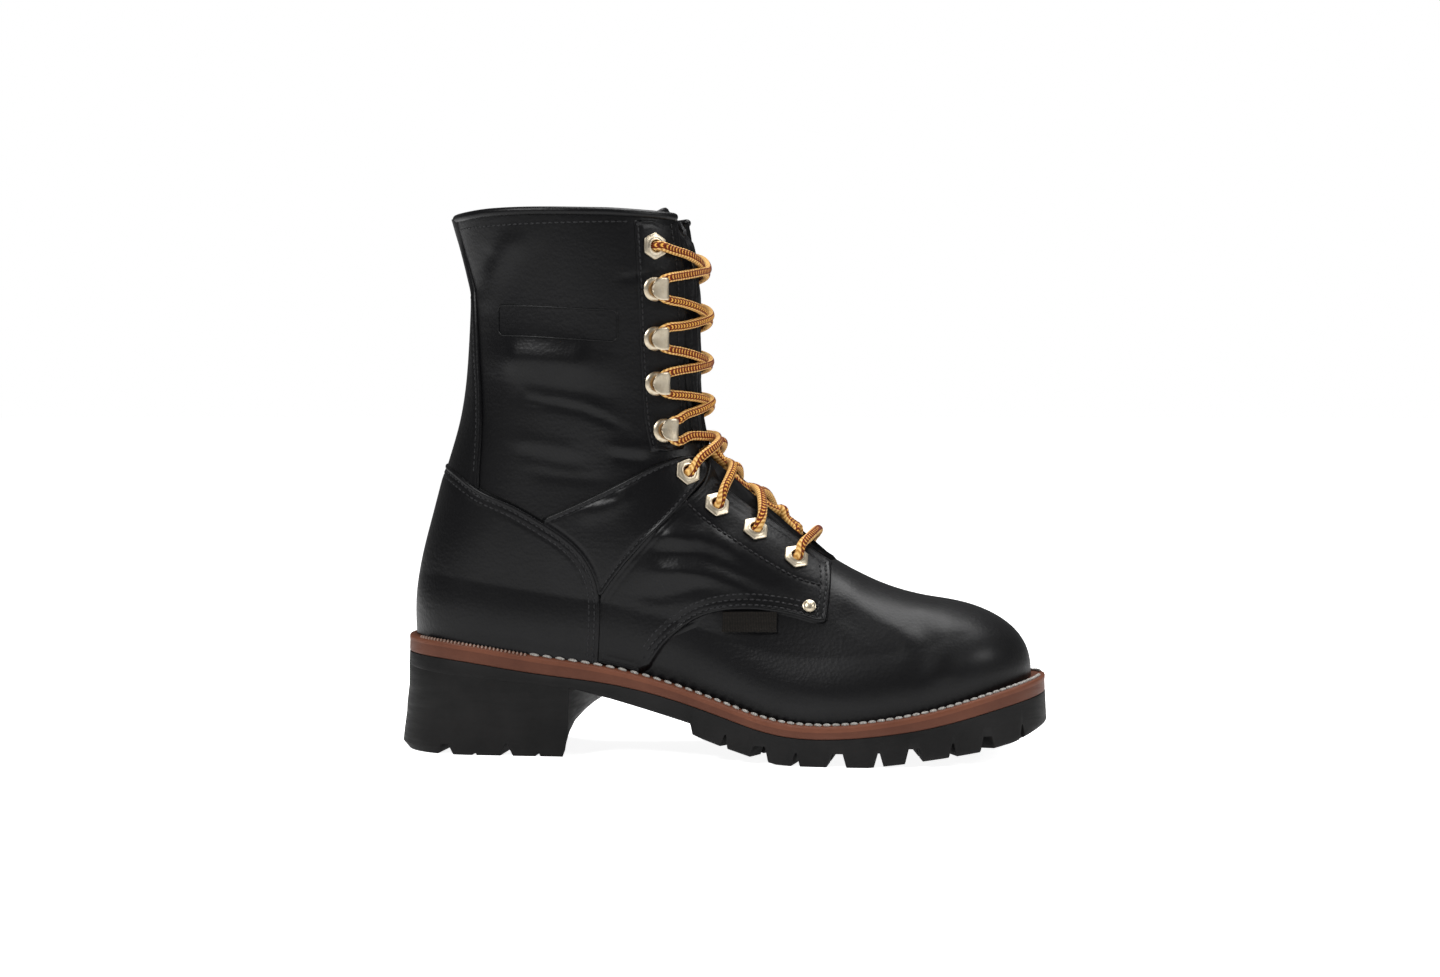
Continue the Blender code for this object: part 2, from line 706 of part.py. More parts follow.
def make_insole(finish):
    """The insole with the filler that lies inside the welt."""
    at = stations(26)
    edge = UPPER_MARGIN + WALL + 2.2
    hole = WELT_INNER + 1.2 + 3 * FIT_GAP
    loops = [
        outline_loop(edge, edge + 3, edge + 1.2, lambda x: welt_top(x) + FIT_GAP + INSOLE_THICK, at),
        outline_loop(edge, edge + 3, edge + 1.2, lambda x: welt_top(x) + FIT_GAP, at),
        outline_loop(hole, hole + 3, hole, lambda x: welt_top(x) + FIT_GAP, at),
        outline_loop(hole, hole + 3, hole, lambda x: welt_top(x) - WELT_THICK + FIT_GAP, at),
    ]
    points, faces = loops_solid(loops)
    return add_mesh("insole", points, faces, finish)


def make_welt(finish):
    at = stations(26)
    inner = WELT_INNER + 1.2
    loops = [
        outline_loop(1.6, 4.0, 1.6, welt_top, at),
        outline_loop(1.0, 3.4, 1.0, lambda x: welt_top(x) - 1.0, at),
        outline_loop(1.2, 3.6, 1.2, lambda x: welt_top(x) - WELT_THICK, at),
        outline_loop(inner, inner + 3, inner, lambda x: welt_top(x) - WELT_THICK, at),
        outline_loop(inner, inner + 3, inner, welt_top, at),
    ]
    points, faces = loops_solid(loops, ring=True)
    return add_mesh("welt", points, faces, finish)


def make_midsole(finish):
    at = stations(26)
    loops = [
        outline_loop(1.4, 3.8, 1.4, lambda x: welt_top(x) - WELT_THICK - FIT_GAP, at),
        outline_loop(1.2, 3.6, 1.2, band_low, at),
    ]
    points, faces = loops_solid(loops)
    return add_mesh("midsole", points, faces, finish)


def edge_frame(x, side):
    """Point of the sole's edge on one side, the direction along it to the toe and the way inwards."""
    def edge(at):
        toe = min(max((at - TOE_CENTRE) / (LENGTH - TOE_CENTRE), 0), 1)
        half = (outer_edge if side < 0 else inner_edge)(at) * (1 - toe**TOE_POWER) ** (1 / TOE_POWER)
        return np.array([at, float(swing(at) + side * half)])

    along = edge(x + 0.2) - edge(x - 0.2)
    along = along / np.linalg.norm(along)
    inwards = np.array([along[1], -along[0]]) * side
    return edge(x), along, inwards


def notch(x, side, low, top, top_width, low_width, lean, reach):
    """Points of a wedge that cuts one notch into the sole's edge."""
    place, along, inwards = edge_frame(x, side)
    below = 2.0
    spread = (low_width - top_width) / 2 * below / (top - low)
    profile = (
        (-low_width / 2 - spread - lean, low - below),
        (low_width / 2 + spread - lean, low - below),
        (top_width / 2, top),
        (-top_width / 2, top),
    )
    points = []
    for away in (-8.0, reach):
        for s, z in profile:
            xy = place + along * s + inwards * away
            points.append((xy[0], xy[1], z))
    return points


def joined_prisms(name, prisms):
    """A helper made of several prisms that don't touch one another."""
    points, faces = [], []
    for prism in prisms:
        base = len(points)
        points += prism
        faces += [[i + base for i in face] for face in prism_faces(len(prism) // 2)]
    return add_mesh(name, points, faces)


def groove_band(inset, width, start, count, depth):
    """A band inside the sole's edge that cuts the groove behind the side lugs."""
    shares = np.sin(np.linspace(0, math.pi / 2, count + 1))
    loops = []
    for margin, lift in ((inset, -3.0), (inset, depth), (inset + width, depth), (inset + width, -3.0)):
        loops.append(outline_loop(margin, 0, margin, lambda x, lift=lift: tread(x) + lift, shares, start))
    count = len(loops[0])
    points = np.concatenate(loops)
    order = list(range(1, count))
    faces = []
    for a, b in ((0, 1), (1, 2), (2, 3), (3, 0)):
        for i, j in zip(order, order[1:]):
            faces.append([a * count + i, a * count + j, b * count + j, b * count + i])
    for i in (order[0], order[-1]):
        faces.append([k * count + i for k in range(4)])
    used = sorted({i for face in faces for i in face})
    renamed = {old: new for new, old in enumerate(used)}
    return add_mesh("lug_groove", points[used], [[renamed[i] for i in face] for face in faces])


def make_outsole(finish):
    knots = np.array([row[1] for row in TREAD[1:-1]], float)
    shares = np.concatenate([stations(24), knots / LENGTH])
    shares = np.unique(np.round(shares, 4))
    thin = [shares[0]]
    fixed = set(np.round(knots / LENGTH, 4))
    for share in shares[1:]:
        if share - thin[-1] > 0.012 or share in fixed or share == shares[-1]:
            thin.append(share)
    heights = (
        (1.2, lambda x: band_low(x) - FIT_GAP),
        (0.0, lambda x: tread(x) + 1.2),
        (0.8, tread),
    )
    rear = {1.2: 3.6, 0.0: 3.2, 0.8: 3.4}
    loops = [outline_loop(m, rear[m], m, height, thin) for m, height in heights]
    points, faces = loops_solid(loops)
    item = add_mesh("outsole", points, faces, finish)
    wedges = []
    for side in (-1, 1):
        for x, top_width, low_width, lean in LUG_NOTCHES:
            low = float(tread(x))
            wedges.append(notch(x, side, low, low + LUG_DEPTH, top_width, low_width, lean, LUG_REACH + 2))
    combine(item, joined_prisms("lug_notches", wedges), "DIFFERENCE")
    combine(item, groove_band(LUG_REACH, LUG_GROOVE, 143.0, 14, LUG_DEPTH), "DIFFERENCE")
    bars = []
    for x, top_width, low_width, lean in LUG_NOTCHES[1:-1:2]:
        low = float(tread(x))
        reach = float(outer_edge(x)) - LUG_REACH - 2
        prism = []
        for y in (-reach, reach):
            for s, z in ((-3.2, low - 3), (3.2, low - 3), (2.2, low + LUG_DEPTH), (-2.2, low + LUG_DEPTH)):
                prism.append((x + s, y + float(swing(x)), z))
        bars.append(prism)
    combine(item, joined_prisms("lug_bars", bars), "DIFFERENCE")
    return item


def make_heel(finish):
    """The heel block under the sole, with its breast slanting back on the inner side."""
    shares = 1 - np.cos(np.linspace(0, math.pi / 2, 13))
    loops = []
    for name, z, margin, back, outer_breast, inner_breast in HEEL_LEVELS:
        height = (lambda x: tread(x) - FIT_GAP) if name == "top" else (lambda x, z=z: np.full_like(x, z))
        sides = []
        for breast, edge, sign in ((outer_breast, outer_edge, -1), (inner_breast, inner_edge, 1)):
            x = back + (breast - back) * shares
            rear = np.clip((HEEL_CENTRE - x) / (HEEL_CENTRE - back), 0, 1)
            half = (edge(x) - margin) * (1 - rear**HEEL_POWER) ** (1 / HEEL_POWER)
            sides.append(np.stack([x, sign * half, height(x)], -1))
        loops.append(np.concatenate([sides[0], sides[1][:0:-1]]))
    points, faces = heel_faces(loops)
    item = add_mesh("heel", points, faces, finish)
    wedges = []
    for side in (-1, 1):
        for x, depth, top_width, low_width in HEEL_NOTCHES:
            wedges.append(notch(x, side, 0.0, depth, top_width, low_width, 0.0, HEEL_NOTCH_REACH))
    combine(item, joined_prisms("heel_notches", wedges), "DIFFERENCE")
    return item


def heel_faces(loops):
    """Faces between open-ended loops that start at the heel's back and run to its breast on both sides."""
    count = len(loops[0])
    half = (count + 1) // 2
    points = np.concatenate(loops)
    faces = []
    for a in range(len(loops) - 1):
        for i in range(count):
            j = (i + 1) % count
            faces.append([a * count + i, a * count + j, (a + 1) * count + j, (a + 1) * count + i])
    for base in (0, (len(loops) - 1) * count):
        faces.append([base, base + 1, base + count - 1])
        for i in range(1, half - 1):
            faces.append([base + i, base + i + 1, base + count - i - 1, base + count - i])
    return points, faces


def tube(path, radius, sides):
    """Points and faces of a round bar along a path."""
    path = np.asarray(path, float)
    along = np.gradient(path, axis=0)
    along /= np.linalg.norm(along, axis=1, keepdims=True)
    across = np.cross(along[0], [0.31, 0.17, 0.93])
    points = []
    for place, heading in zip(path, along):
        across = across - heading * across.dot(heading)
        across /= np.linalg.norm(across)
        third = np.cross(heading, across)
        for k in range(sides):
            turn = 2 * math.pi * (k + 0.5) / sides
            points.append(place + radius * (math.cos(turn) * across + math.sin(turn) * third))
    faces = []
    for i in range(len(path) - 1):
        for k in range(sides):
            n = (k + 1) % sides
            faces.append([i * sides + k, i * sides + n, (i + 1) * sides + n, (i + 1) * sides + k])
    faces.append(list(range(sides))[::-1])
    faces.append([(len(path) - 1) * sides + k for k in range(sides)])
    return points, faces


def make_piping(grid, normals, finish):
    """The rolled edge along the collar, from one side of the throat round the back to the other."""
    order = [c % (2 * COLUMNS) for c in range(COLUMNS + GAP_COLUMNS, 3 * COLUMNS - GAP_COLUMNS + 1)]
    path = grid[-1, order] - normals[-1, order] * (WALL / 2 - 0.5)
    path[:, 2] = COLLAR_HEIGHT + FIT_GAP + PIPING_RADIUS
    points, faces = tube(path, PIPING_RADIUS, 6)
    return add_mesh("collar_piping", points, faces, finish)


def local_frame(x, z, side, lift):
    """Place on the upper with the ways forward along it, up along it and outwards."""
    place = on_skin(x, z, side)
    out = outward(place)
    forward = np.array([1.0, 0.0, 0.0])
    forward = forward - out * forward.dot(out)
    forward /= np.linalg.norm(forward)
    up = np.cross(out, forward)
    if up[2] < 0:
        up = -up
    return place + out * lift, forward, up, out


def placed(frame, points):
    place, forward, up, out = frame
    return [place + forward * a + up * b + out * c for a, b, c in points]


OVER_UPPER = 2 * FIT_GAP
OVER_OVERLAY = OVERLAY + 3 * FIT_GAP


def make_eyelet(name, x, z, side, lift, finish):
    """A six-sided washer with its points up and down."""
    points = []
    for radius, height in ((EYELET_RADIUS, 0), (EYELET_RADIUS, EYELET_THICK), (EYELET_HOLE, EYELET_THICK), (EYELET_HOLE, 0)):
        for k in range(6):
            turn = math.radians(90 + 60 * k)
            points.append((radius * math.cos(turn), radius * math.sin(turn), height))
    faces = []
    for ring in range(4):
        for k in range(6):
            n = (k + 1) % 6
            follow = (ring + 1) % 4
            faces.append([ring * 6 + k, ring * 6 + n, follow * 6 + n, follow * 6 + k])
    return add_mesh(name, placed(local_frame(x, z, side, lift), points), faces, finish)


def make_hook(name, x, z, side, lift, finish):
    """A lace hook: a foot on the leather, a neck towards the throat and a plate folded back over the foot."""
    top = HOOK_PLATE + HOOK_ROOM
    neck = 4.6
    profile = (
        (-HOOK_BASE, 0), (neck - 0.9, 0), (neck, 0.8), (neck, top + HOOK_PLATE - 0.8), (neck - 0.9, top + HOOK_PLATE),
        (-3.4, top + HOOK_PLATE), (-3.4, top), (neck - 1.4, top), (neck - 1.4, HOOK_PLATE), (-HOOK_BASE, HOOK_PLATE),
    )
    points = [(a, b, c) for b in (-HOOK_WIDTH / 2, HOOK_WIDTH / 2) for a, c in profile]
    return add_mesh(name, placed(local_frame(x, z, side, lift), points), prism_faces(len(profile)), finish, 30)


def make_rivet(name, x, z, side, lift, finish):
    points = [(0, 0, RIVET_HEIGHT)]
    faces = []
    sides = 10
    for radius, height in ((0.6, 0.82), (0.9, 0.42), (1.0, 0.0)):
        for k in range(sides):
            turn = 2 * math.pi * k / sides
            reach = RIVET_RADIUS * radius
            points.append((reach * math.cos(turn), reach * math.sin(turn), RIVET_HEIGHT * height))
    for k in range(sides):
        n = (k + 1) % sides
        faces.append([0, 1 + k, 1 + n])
        for ring in range(2):
            faces.append([1 + ring * sides + k, 1 + ring * sides + n, 1 + (ring + 1) * sides + n, 1 + (ring + 1) * sides + k])
    faces.append([1 + 2 * sides + k for k in range(sides)])
    return add_mesh(name, placed(local_frame(x, z, side, lift), points), faces, finish)


def make_tag(finish):
    """The blank woven tab below the outer quarter's edge."""
    half = TAG_LENGTH / 2
    outline = ((-half, -TAG_HEIGHT / 2), (half, -TAG_HEIGHT / 2), (half, TAG_HEIGHT / 2), (-half, TAG_HEIGHT / 2))
    points = [(a, b, c) for c in (0, TAG_THICK) for a, b in outline]
    frame = local_frame(TAG[0], TAG[1], -1, FIT_GAP)
    return add_mesh("side_tag", placed(frame, points), prism_faces(4), finish)


def make_metal(brass):
    for side, label in ((-1, "lateral"), (1, "medial")):
        for number, (x, z) in enumerate(EYELETS, 1):
            lift = OVER_UPPER if number == len(EYELETS) else OVER_OVERLAY
            make_eyelet(f"eyelet_{label}_{number}", x, z, side, lift, brass)
        for number, (x, z) in enumerate(HOOKS, 1):
            make_hook(f"hook_{label}_{number}", x, z, side, OVER_UPPER, brass)
        make_rivet("rivet_" + label, *RIVET, side, OVER_OVERLAY, brass)


def beside_ridge(ridge_z, offset, lift):
    """Point over the last, by the height on the ridge beside it and its distance from the middle."""
    run = float(np.interp(ridge_z, top_fine[60:, 1], run_fine[60:]))
    spot = np.array([np.interp(run, run_fine, top_fine[:, k]) for k in (0, 1)])
    ahead = np.array([np.interp(run + 1, run_fine, top_fine[:, k]) for k in (0, 1)]) - spot
    ahead /= np.linalg.norm(ahead)
    inwards = np.array([-ahead[1], ahead[0]])
    place = spot
    for _ in range(3):
        wide, _, _, power = form(*place)
        over = (1 - min(abs(offset) / float(wide), 0.98) ** float(power)) ** (1 / float(power))
        place = spot + inwards * float(depth_along(run)) * (1 - over)
    _, middle = skin(*place)
    point = np.array([place[0], float(middle) + offset, place[1]])
    return point + outward(point) * lift


def strand(start, end, crossing, ridge_lift):
    """Path of one strand: from a place on one side over the ridge to a place on the other side."""
    path = []
    for (ridge_z, offset, lift), turns in ((start, range(LACE_STEPS + 1)), (end, range(LACE_STEPS - 1, -1, -1))):
        for step in turns:
            share = step / LACE_STEPS
            height = ridge_z + (crossing - ridge_z) * share
            over = ridge_lift + (lift - ridge_lift) * (1 - share**4)
            path.append(beside_ridge(height, offset * (1 - share), over))
    return np.array(path)


def make_lace(finish):
    """The lace's crossings, each two strands joined where they pass, and the bar over the lowest eyelets."""
    height, offset, lift = BAR
    path = strand((height, -offset, lift), (height, offset, lift), height, lift)
    add_mesh("lace_1", *tube(path, LACE_RADIUS, LACE_SIDES), finish)
    for number, (name, z0, y0, lift0, z1, y1, lift1, crossing) in enumerate(CROSSINGS, 2):
        high = strand((z0, -y0, lift0), (z1, y1, lift1), crossing, HIGH_STRAND)
        low = strand((z0, y0, lift0), (z1, -y1, lift1), crossing, LOW_STRAND)
        item = add_mesh(f"lace_{number}", *tube(high, LACE_RADIUS, LACE_SIDES), finish)
        combine(item, add_mesh(f"lace_{number}_other", *tube(low, LACE_RADIUS, LACE_SIDES)), "UNION")


def main():
    for item in list(bpy.data.objects):
        bpy.data.objects.remove(item)
    leather = material("black_leather", (0.012, 0.012, 0.014), 0.38)
    lining = material("insole_leather", (0.28, 0.17, 0.09), 0.6)
    brown = material("brown_rubber", (0.28, 0.10, 0.05), 0.55)
    rubber = material("black_rubber", (0.018, 0.018, 0.018), 0.7)
    brass = material("pale_brass", (0.72, 0.62, 0.44), 0.25, 1.0)
    cloth = material("dark_cloth", (0.03, 0.027, 0.022), 0.8)
    cord = material("golden_cord", (0.62, 0.33, 0.09), 0.7)
    grid, normals, throat = last_grid()
    make_upper(grid, normals, throat, leather)
    make_overlays(grid, normals, leather)
    make_piping(grid, normals, leather)
    make_tongue(grid, normals, throat, leather)
    make_insole(lining)
    make_welt(brown)
    make_midsole(brown)
    make_outsole(rubber)
    make_heel(rubber)
    make_metal(brass)
    make_tag(cloth)
    make_lace(cord)


main()
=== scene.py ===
"""Looks of the logger boot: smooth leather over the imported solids, stitches, welt, lugs, brass and lace.

The pieces are worked out in table millimetres, whose x runs from the back of the heel, with the toe along +X,
the outer side at -Y and the floor at Z = 0. to_world() turns them into metres in the frame of the solids.
"""

import math

import bpy
import bmesh
import numpy as np
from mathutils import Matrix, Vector
from mathutils.geometry import delaunay_2d_cdt


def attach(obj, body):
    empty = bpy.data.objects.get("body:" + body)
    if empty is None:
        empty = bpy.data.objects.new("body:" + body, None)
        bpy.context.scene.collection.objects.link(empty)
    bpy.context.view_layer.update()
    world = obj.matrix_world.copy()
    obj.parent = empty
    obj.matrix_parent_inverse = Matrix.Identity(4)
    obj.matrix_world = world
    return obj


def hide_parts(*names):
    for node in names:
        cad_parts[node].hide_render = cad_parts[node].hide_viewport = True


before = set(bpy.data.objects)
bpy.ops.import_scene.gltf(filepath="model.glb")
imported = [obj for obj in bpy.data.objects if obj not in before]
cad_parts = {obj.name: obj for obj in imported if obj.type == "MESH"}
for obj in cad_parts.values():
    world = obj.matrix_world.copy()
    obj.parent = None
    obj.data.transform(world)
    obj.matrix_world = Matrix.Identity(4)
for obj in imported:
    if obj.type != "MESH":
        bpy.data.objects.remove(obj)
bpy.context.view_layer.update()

MM = 0.001
OUTER = -1
INNER = 1
SIDES = ((OUTER, "lateral"), (INNER, "medial"))

# Driving sizes of the last, in millimetres. They and the tables below are the same as in the part
LENGTH = 310.0
HALF_LENGTH = LENGTH / 2
COLLAR_HEIGHT = 253.6
WALL = 2.2
OVERLAY = 1.5
FIT_GAP = 0.3
WELT_THICK = 3.0
WELT_INNER = 17.0
INSOLE_THICK = 3.0
UPPER_MARGIN = 6.4
HEEL_MARGIN = 6.0
PIPING_RADIUS = 2.0
LACE_RADIUS = 2.2
HEEL_CENTRE = 42.0
TOE_CENTRE = 257.0
HEEL_POWER = 2.2
TOE_POWER = 2.35
TOE_SWING = 4.0
SWING_FROM = 212
SWING_SPAN = 98
TOE_REACH = LENGTH - TOE_CENTRE - UPPER_MARGIN - 1.2

# How the last goes over from heel to ball, from sole to instep and from foot to shaft
MARGIN_FROM = 60
MARGIN_SPAN = 80
INSTEP_RISE = 62
SWELL = 1.9
SWELL_RISE = 30
FEATHER_RISE = 8
LEG_FROM = 84
LEG_SPAN = 66
SIDE_POWER = 2.15
BALL_POWER = 0.2
BALL_FROM = 190
BALL_SPAN = 60

# Sole: place, outer and inner half width of its edge, half width of the upper at the instep, and the heights
# of the welt's top, of the brown band and of the sole's underside
LAST = (
    # name, x, outer, inner, instep
    ("heel_back", 0, 37.0, 37.0, 35.0),
    ("seat", 42, 38.2, 38.2, 35.0),
    ("breast", 88, 38.0, 36.6, 35.0),
    ("waist", 124, 40.0, 35.0, 36.0),
    ("arch", 155, 45.5, 40.0, 37.0),
    ("ball_outer", 192, 53.6, 49.5, 40.0),
    ("ball_inner", 222, 55.4, 54.6, 46.0),
    ("toe_base", 255, 53.2, 53.0, 50.0),
    ("toe", 285, 49.0, 49.0, 49.0),
    ("tip", 310, 46.0, 46.0, 48.0),
)
WELT_TOP = (
    # name, x, z
    ("heel_back", 3, 55.4),
    ("seat", 30, 53.4),
    ("breast", 70, 47.4),
    ("shank", 105, 42.6),
    ("waist", 135, 35.8),
    ("arch", 162, 27.4),
    ("ball_back", 185, 20.6),
    ("ball", 208, 18.6),
    ("ball_front", 237, 21.2),
    ("toe_base", 262, 26.2),
    ("toe", 287, 33.2),
    ("tip", 310, 39.2),
)
BAND = (
    # name, x, height of the brown band
    ("heel_back", 0, 8.4),
    ("breast", 88, 8.0),
    ("waist", 124, 7.2),
    ("ball_back", 190, 6.2),
    ("ball", 220, 6.2),
    ("toe_base", 258, 7.2),
    ("tip", 310, 8.2),
)
TREAD = (
    # name, x, z of the sole's underside
    ("heel_back", 0, 40.4),
    ("breast", 90, 32.0),
    ("arch_back", 108, 27.8),
    ("arch", 126, 23.0),
    ("arch_front", 146.6, 17.4),
    ("lug_back", 147.8, 12.0),
    ("ball_back", 163, 7.0),
    ("ball_rise", 177, 3.0),
    ("ball_stand", 188, 0.4),
    ("stand_back", 196, 0.0),
    ("stand_front", 230, 0.0),
    ("toe_rise", 244, 1.5),
    ("toe_base", 262, 4.0),
    ("toe_low", 280, 6.6),
    ("toe", 296, 10.2),
    ("tip", 310, 16.5),
)

# Lug notches along the sole's edge and the heel's levels and notches
LUG_DEPTH = 6.2
LUG_REACH = 17.0
LUG_GROOVE = 5.0
LUG_NOTCHES = (
    # x, top width, bottom width, how far the bottom leans back
    (163.5, 0.8, 4.2, 1.4),
    (179.6, 5.6, 9.2, 0.4),
    (197.0, 0.8, 4.4, 0.4),
    (215.7, 5.6, 9.2, 0.0),
    (235.0, 0.8, 4.4, 0.0),
    (251.0, 5.0, 8.2, 0.0),
    (268.5, 0.8, 4.0, 0.0),
    (284.0, 4.4, 7.4, 0.0),
    (299.5, 0.8, 3.4, 0.0),
)
HEEL_LEVELS = (
    # name, z, margin, back margin, breast at the outer side, breast at the inner side
    ("top", 99.0, 1.0, 3.4, 88.6, 93.0),
    ("upper_lift", 21.5, 0.8, 2.0, 88.0, 92.4),
    ("lift_line", 17.2, 0.9, 1.8, 87.9, 86.0),
    ("lower_lift", 10.0, 0.3, 0.8, 87.6, 77.5),
    ("edge", 3.4, 0.0, 0.0, 86.6, 72.0),
    ("rest", 0.0, 0.8, 3.2, 85.2, 69.0),
)
HEEL_NOTCHES = (
    # x, depth, top width, bottom width
    (28.3, 5.0, 3.6, 8.0),
    (42.9, 1.3, 0.6, 2.4),
    (58.4, 5.6, 1.0, 6.0),
    (73.3, 2.4, 0.5, 2.6),
)

# Top line and back line of the closed last in the side view, and the sections through the upper
TOP_LINE = (
    # name, x, z, depth over which the side rounds, shift of the ridge to the inner side
    ("past_toe", 318, 70.3, 31.0, 0.0),
    ("toe_tip", 300, 71.2, 33.5, 0.0),
    ("toe_cap", 278, 72.2, 41.0, 0.5),
    ("cap_back", 258, 73.8, 47.5, 1.5),
    ("vamp_low", 238, 78.2, 52.0, 2.5),
    ("vamp", 219, 86.2, 55.0, 2.5),
    ("throat", 204, 95.4, 54.0, 2.0),
    ("instep_low", 188, 108.0, 50.0, 1.5),
    ("instep", 172, 119.4, 48.0, 1.0),
    ("instep_high", 159, 131.0, 48.0, 0.5),
    ("ankle_front", 150.5, 145.0, 50.0, 0.0),
    ("shin_low", 146.6, 163.0, 53.0, 0.0),
    ("shin", 145.4, 190.0, 54.0, 0.0),
    ("shin_high", 145.2, 218.0, 55.0, 0.0),
    ("collar", 142.0, 246.0, 56.0, 0.0),
    ("past_collar", 137.6, 272.0, 56.0, 0.0),
)
BACK_LINE = (
    # name, z, x, depth, half width
    ("feather", 52, 9.4, 33.5, 35.0),
    ("heel", 72, 9.2, 34.5, 35.0),
    ("counter", 92, 12.2, 36.0, 35.0),
    ("counter_top", 112, 17.4, 40.0, 35.5),
    ("ankle", 134, 23.4, 45.0, 36.0),
    ("ankle_high", 154, 29.4, 50.0, 37.5),
    ("calf_low", 175, 33.2, 52.0, 39.0),
    ("calf", 198, 35.0, 54.0, 40.5),
    ("calf_high", 219, 35.2, 55.0, 42.5),
    ("flare", 237, 31.6, 57.0, 44.5),
    ("collar", 254, 26.6, 58.0, 46.0),
    ("past_collar", 272, 20.5, 58.0, 47.0),
)
SECTIONS = (
    # name, front, back, sag
    ("feather", 0, 55.4, 1.0),
    ("toe_wall", 22, 60.0, 0.92),
    ("toe_top", 52, 66.0, 0.75),
    ("vamp", 84, 75.0, 0.50),
    ("throat", 116, 90.0, 0.24),
    ("instep", 158, 116.0, 0.05),
    ("ankle", 192, 148.0, 0.0),
    ("calf", 240, 200.0, 0.0),
    ("flare", 275, 232.0, 0.0),
    ("collar", 300, COLLAR_HEIGHT, 0.0),
)
THROAT_RUN = 116.0
THROAT_GAP = (
    # name, distance along the front edge, half width of the gap
    ("toe", 0, 8.0),
    ("vamp", 84, 8.0),
    ("throat", 116, 8.5),
    ("instep", 158, 13.0),
    ("ankle", 192, 16.0),
    ("calf", 240, 18.0),
    ("collar", 300, 18.5),
)

# Outlines of the overlays in the side view: x, z
COUNTER_EDGE = (
    (102.0, 44.0), (103.2, 58.0), (103.2, 74.0), (101.6, 84.0), (96.5, 94.0), (87.0, 103.2), (75.0, 110.8),
    (61.0, 118.6), (45.0, 125.6), (31.0, 134.0), (19.0, 138.4),
)
BACKSTAY_EDGE = (
    (44.6, 133.0), (44.8, 166.0), (42.8, 188.0), (40.2, 212.0), (34.6, 234.0), (31.0, 247.0), (30.4, 252.0),
)
STRAP_TOP_EDGE = (
    (75.6, 111.8), (98.0, 121.6), (121.0, 133.2), (137.0, 140.4), (143.5, 141.0), (148.6, 138.6),
)
STRAP_END = ((150.6, 134.0), (149.6, 128.8))
STRAP_LOW_EDGE = ((141.0, 117.8), (124.0, 100.0), (110.0, 83.8), (104.0, 75.6))
QUARTER_EDGE = (
    (127.0, 44.0), (133.0, 52.6), (141.0, 60.2), (151.0, 66.6), (164.0, 69.8), (178.0, 69.8), (192.0, 67.6),
    (204.0, 64.4), (209.4, 65.6), (210.0, 74.0), (209.4, 86.0), (206.0, 97.0), (203.0, 108.0),
)

# Metal pieces in the side view, from the lowest up: x, z. Then the tab, the lace's crossings and its lowest
# bar
EYELETS = ((193.0, 93.0), (174.0, 106.0), (156.0, 117.5), (142.0, 133.0), (128.0, 239.0))
HOOKS = ((132.0, 153.0), (128.4, 175.0), (128.0, 196.0), (128.0, 219.0))
RIVET = (201.0, 71.2)
TAG = (174.0, 63.8)
TAG_LENGTH = 25.0
TAG_HEIGHT = 7.6
TAG_THICK = 0.8
CROSSINGS = (
    # name, start ridge z, start offset, start lift, end ridge z, end offset, end lift, crossing z
    ("vamp", 105.6, 5.4, 1.0, 118.0, 5.4, 1.0, 112.0),
    ("instep_low", 114.6, 20.6, 6.4, 130.0, 5.8, 1.0, 122.5),
    ("instep", 127.6, 21.6, 6.4, 144.0, 7.0, 1.0, 135.0),
    ("ankle", 141.4, 22.0, 6.4, 151.6, 21.0, 3.4, 148.0),
    ("shin_low", 161.0, 21.6, 3.4, 170.0, 22.6, 3.4, 166.0),
    ("shin", 181.6, 22.8, 3.4, 190.2, 23.2, 3.4, 185.0),
    ("shin_high", 202.0, 23.6, 3.4, 213.4, 24.2, 3.4, 207.0),
    ("collar", 226.0, 24.4, 3.0, 239.0, 27.4, 3.2, 229.0),
)
LOW_STRAND = 1.7
HIGH_STRAND = 3.9
BAR = (100.6, 21.0, 6.4)

# Sizes of the scene alone: how far the notches run through, and sides, back, lap and top of sole and heel
HEEL_NOTCH_REACH = 42.0
LUG_THROUGH = 60.0
SOLE_SIDE = 0.3
SOLE_REAR = 3.3
HEEL_LAP = 1.8
HEEL_FLUSH = 0.4
HEEL_TOP_BACK = 3.2
HEEL_UNDER_LAP = -0.5
ROUNDING = 0.35

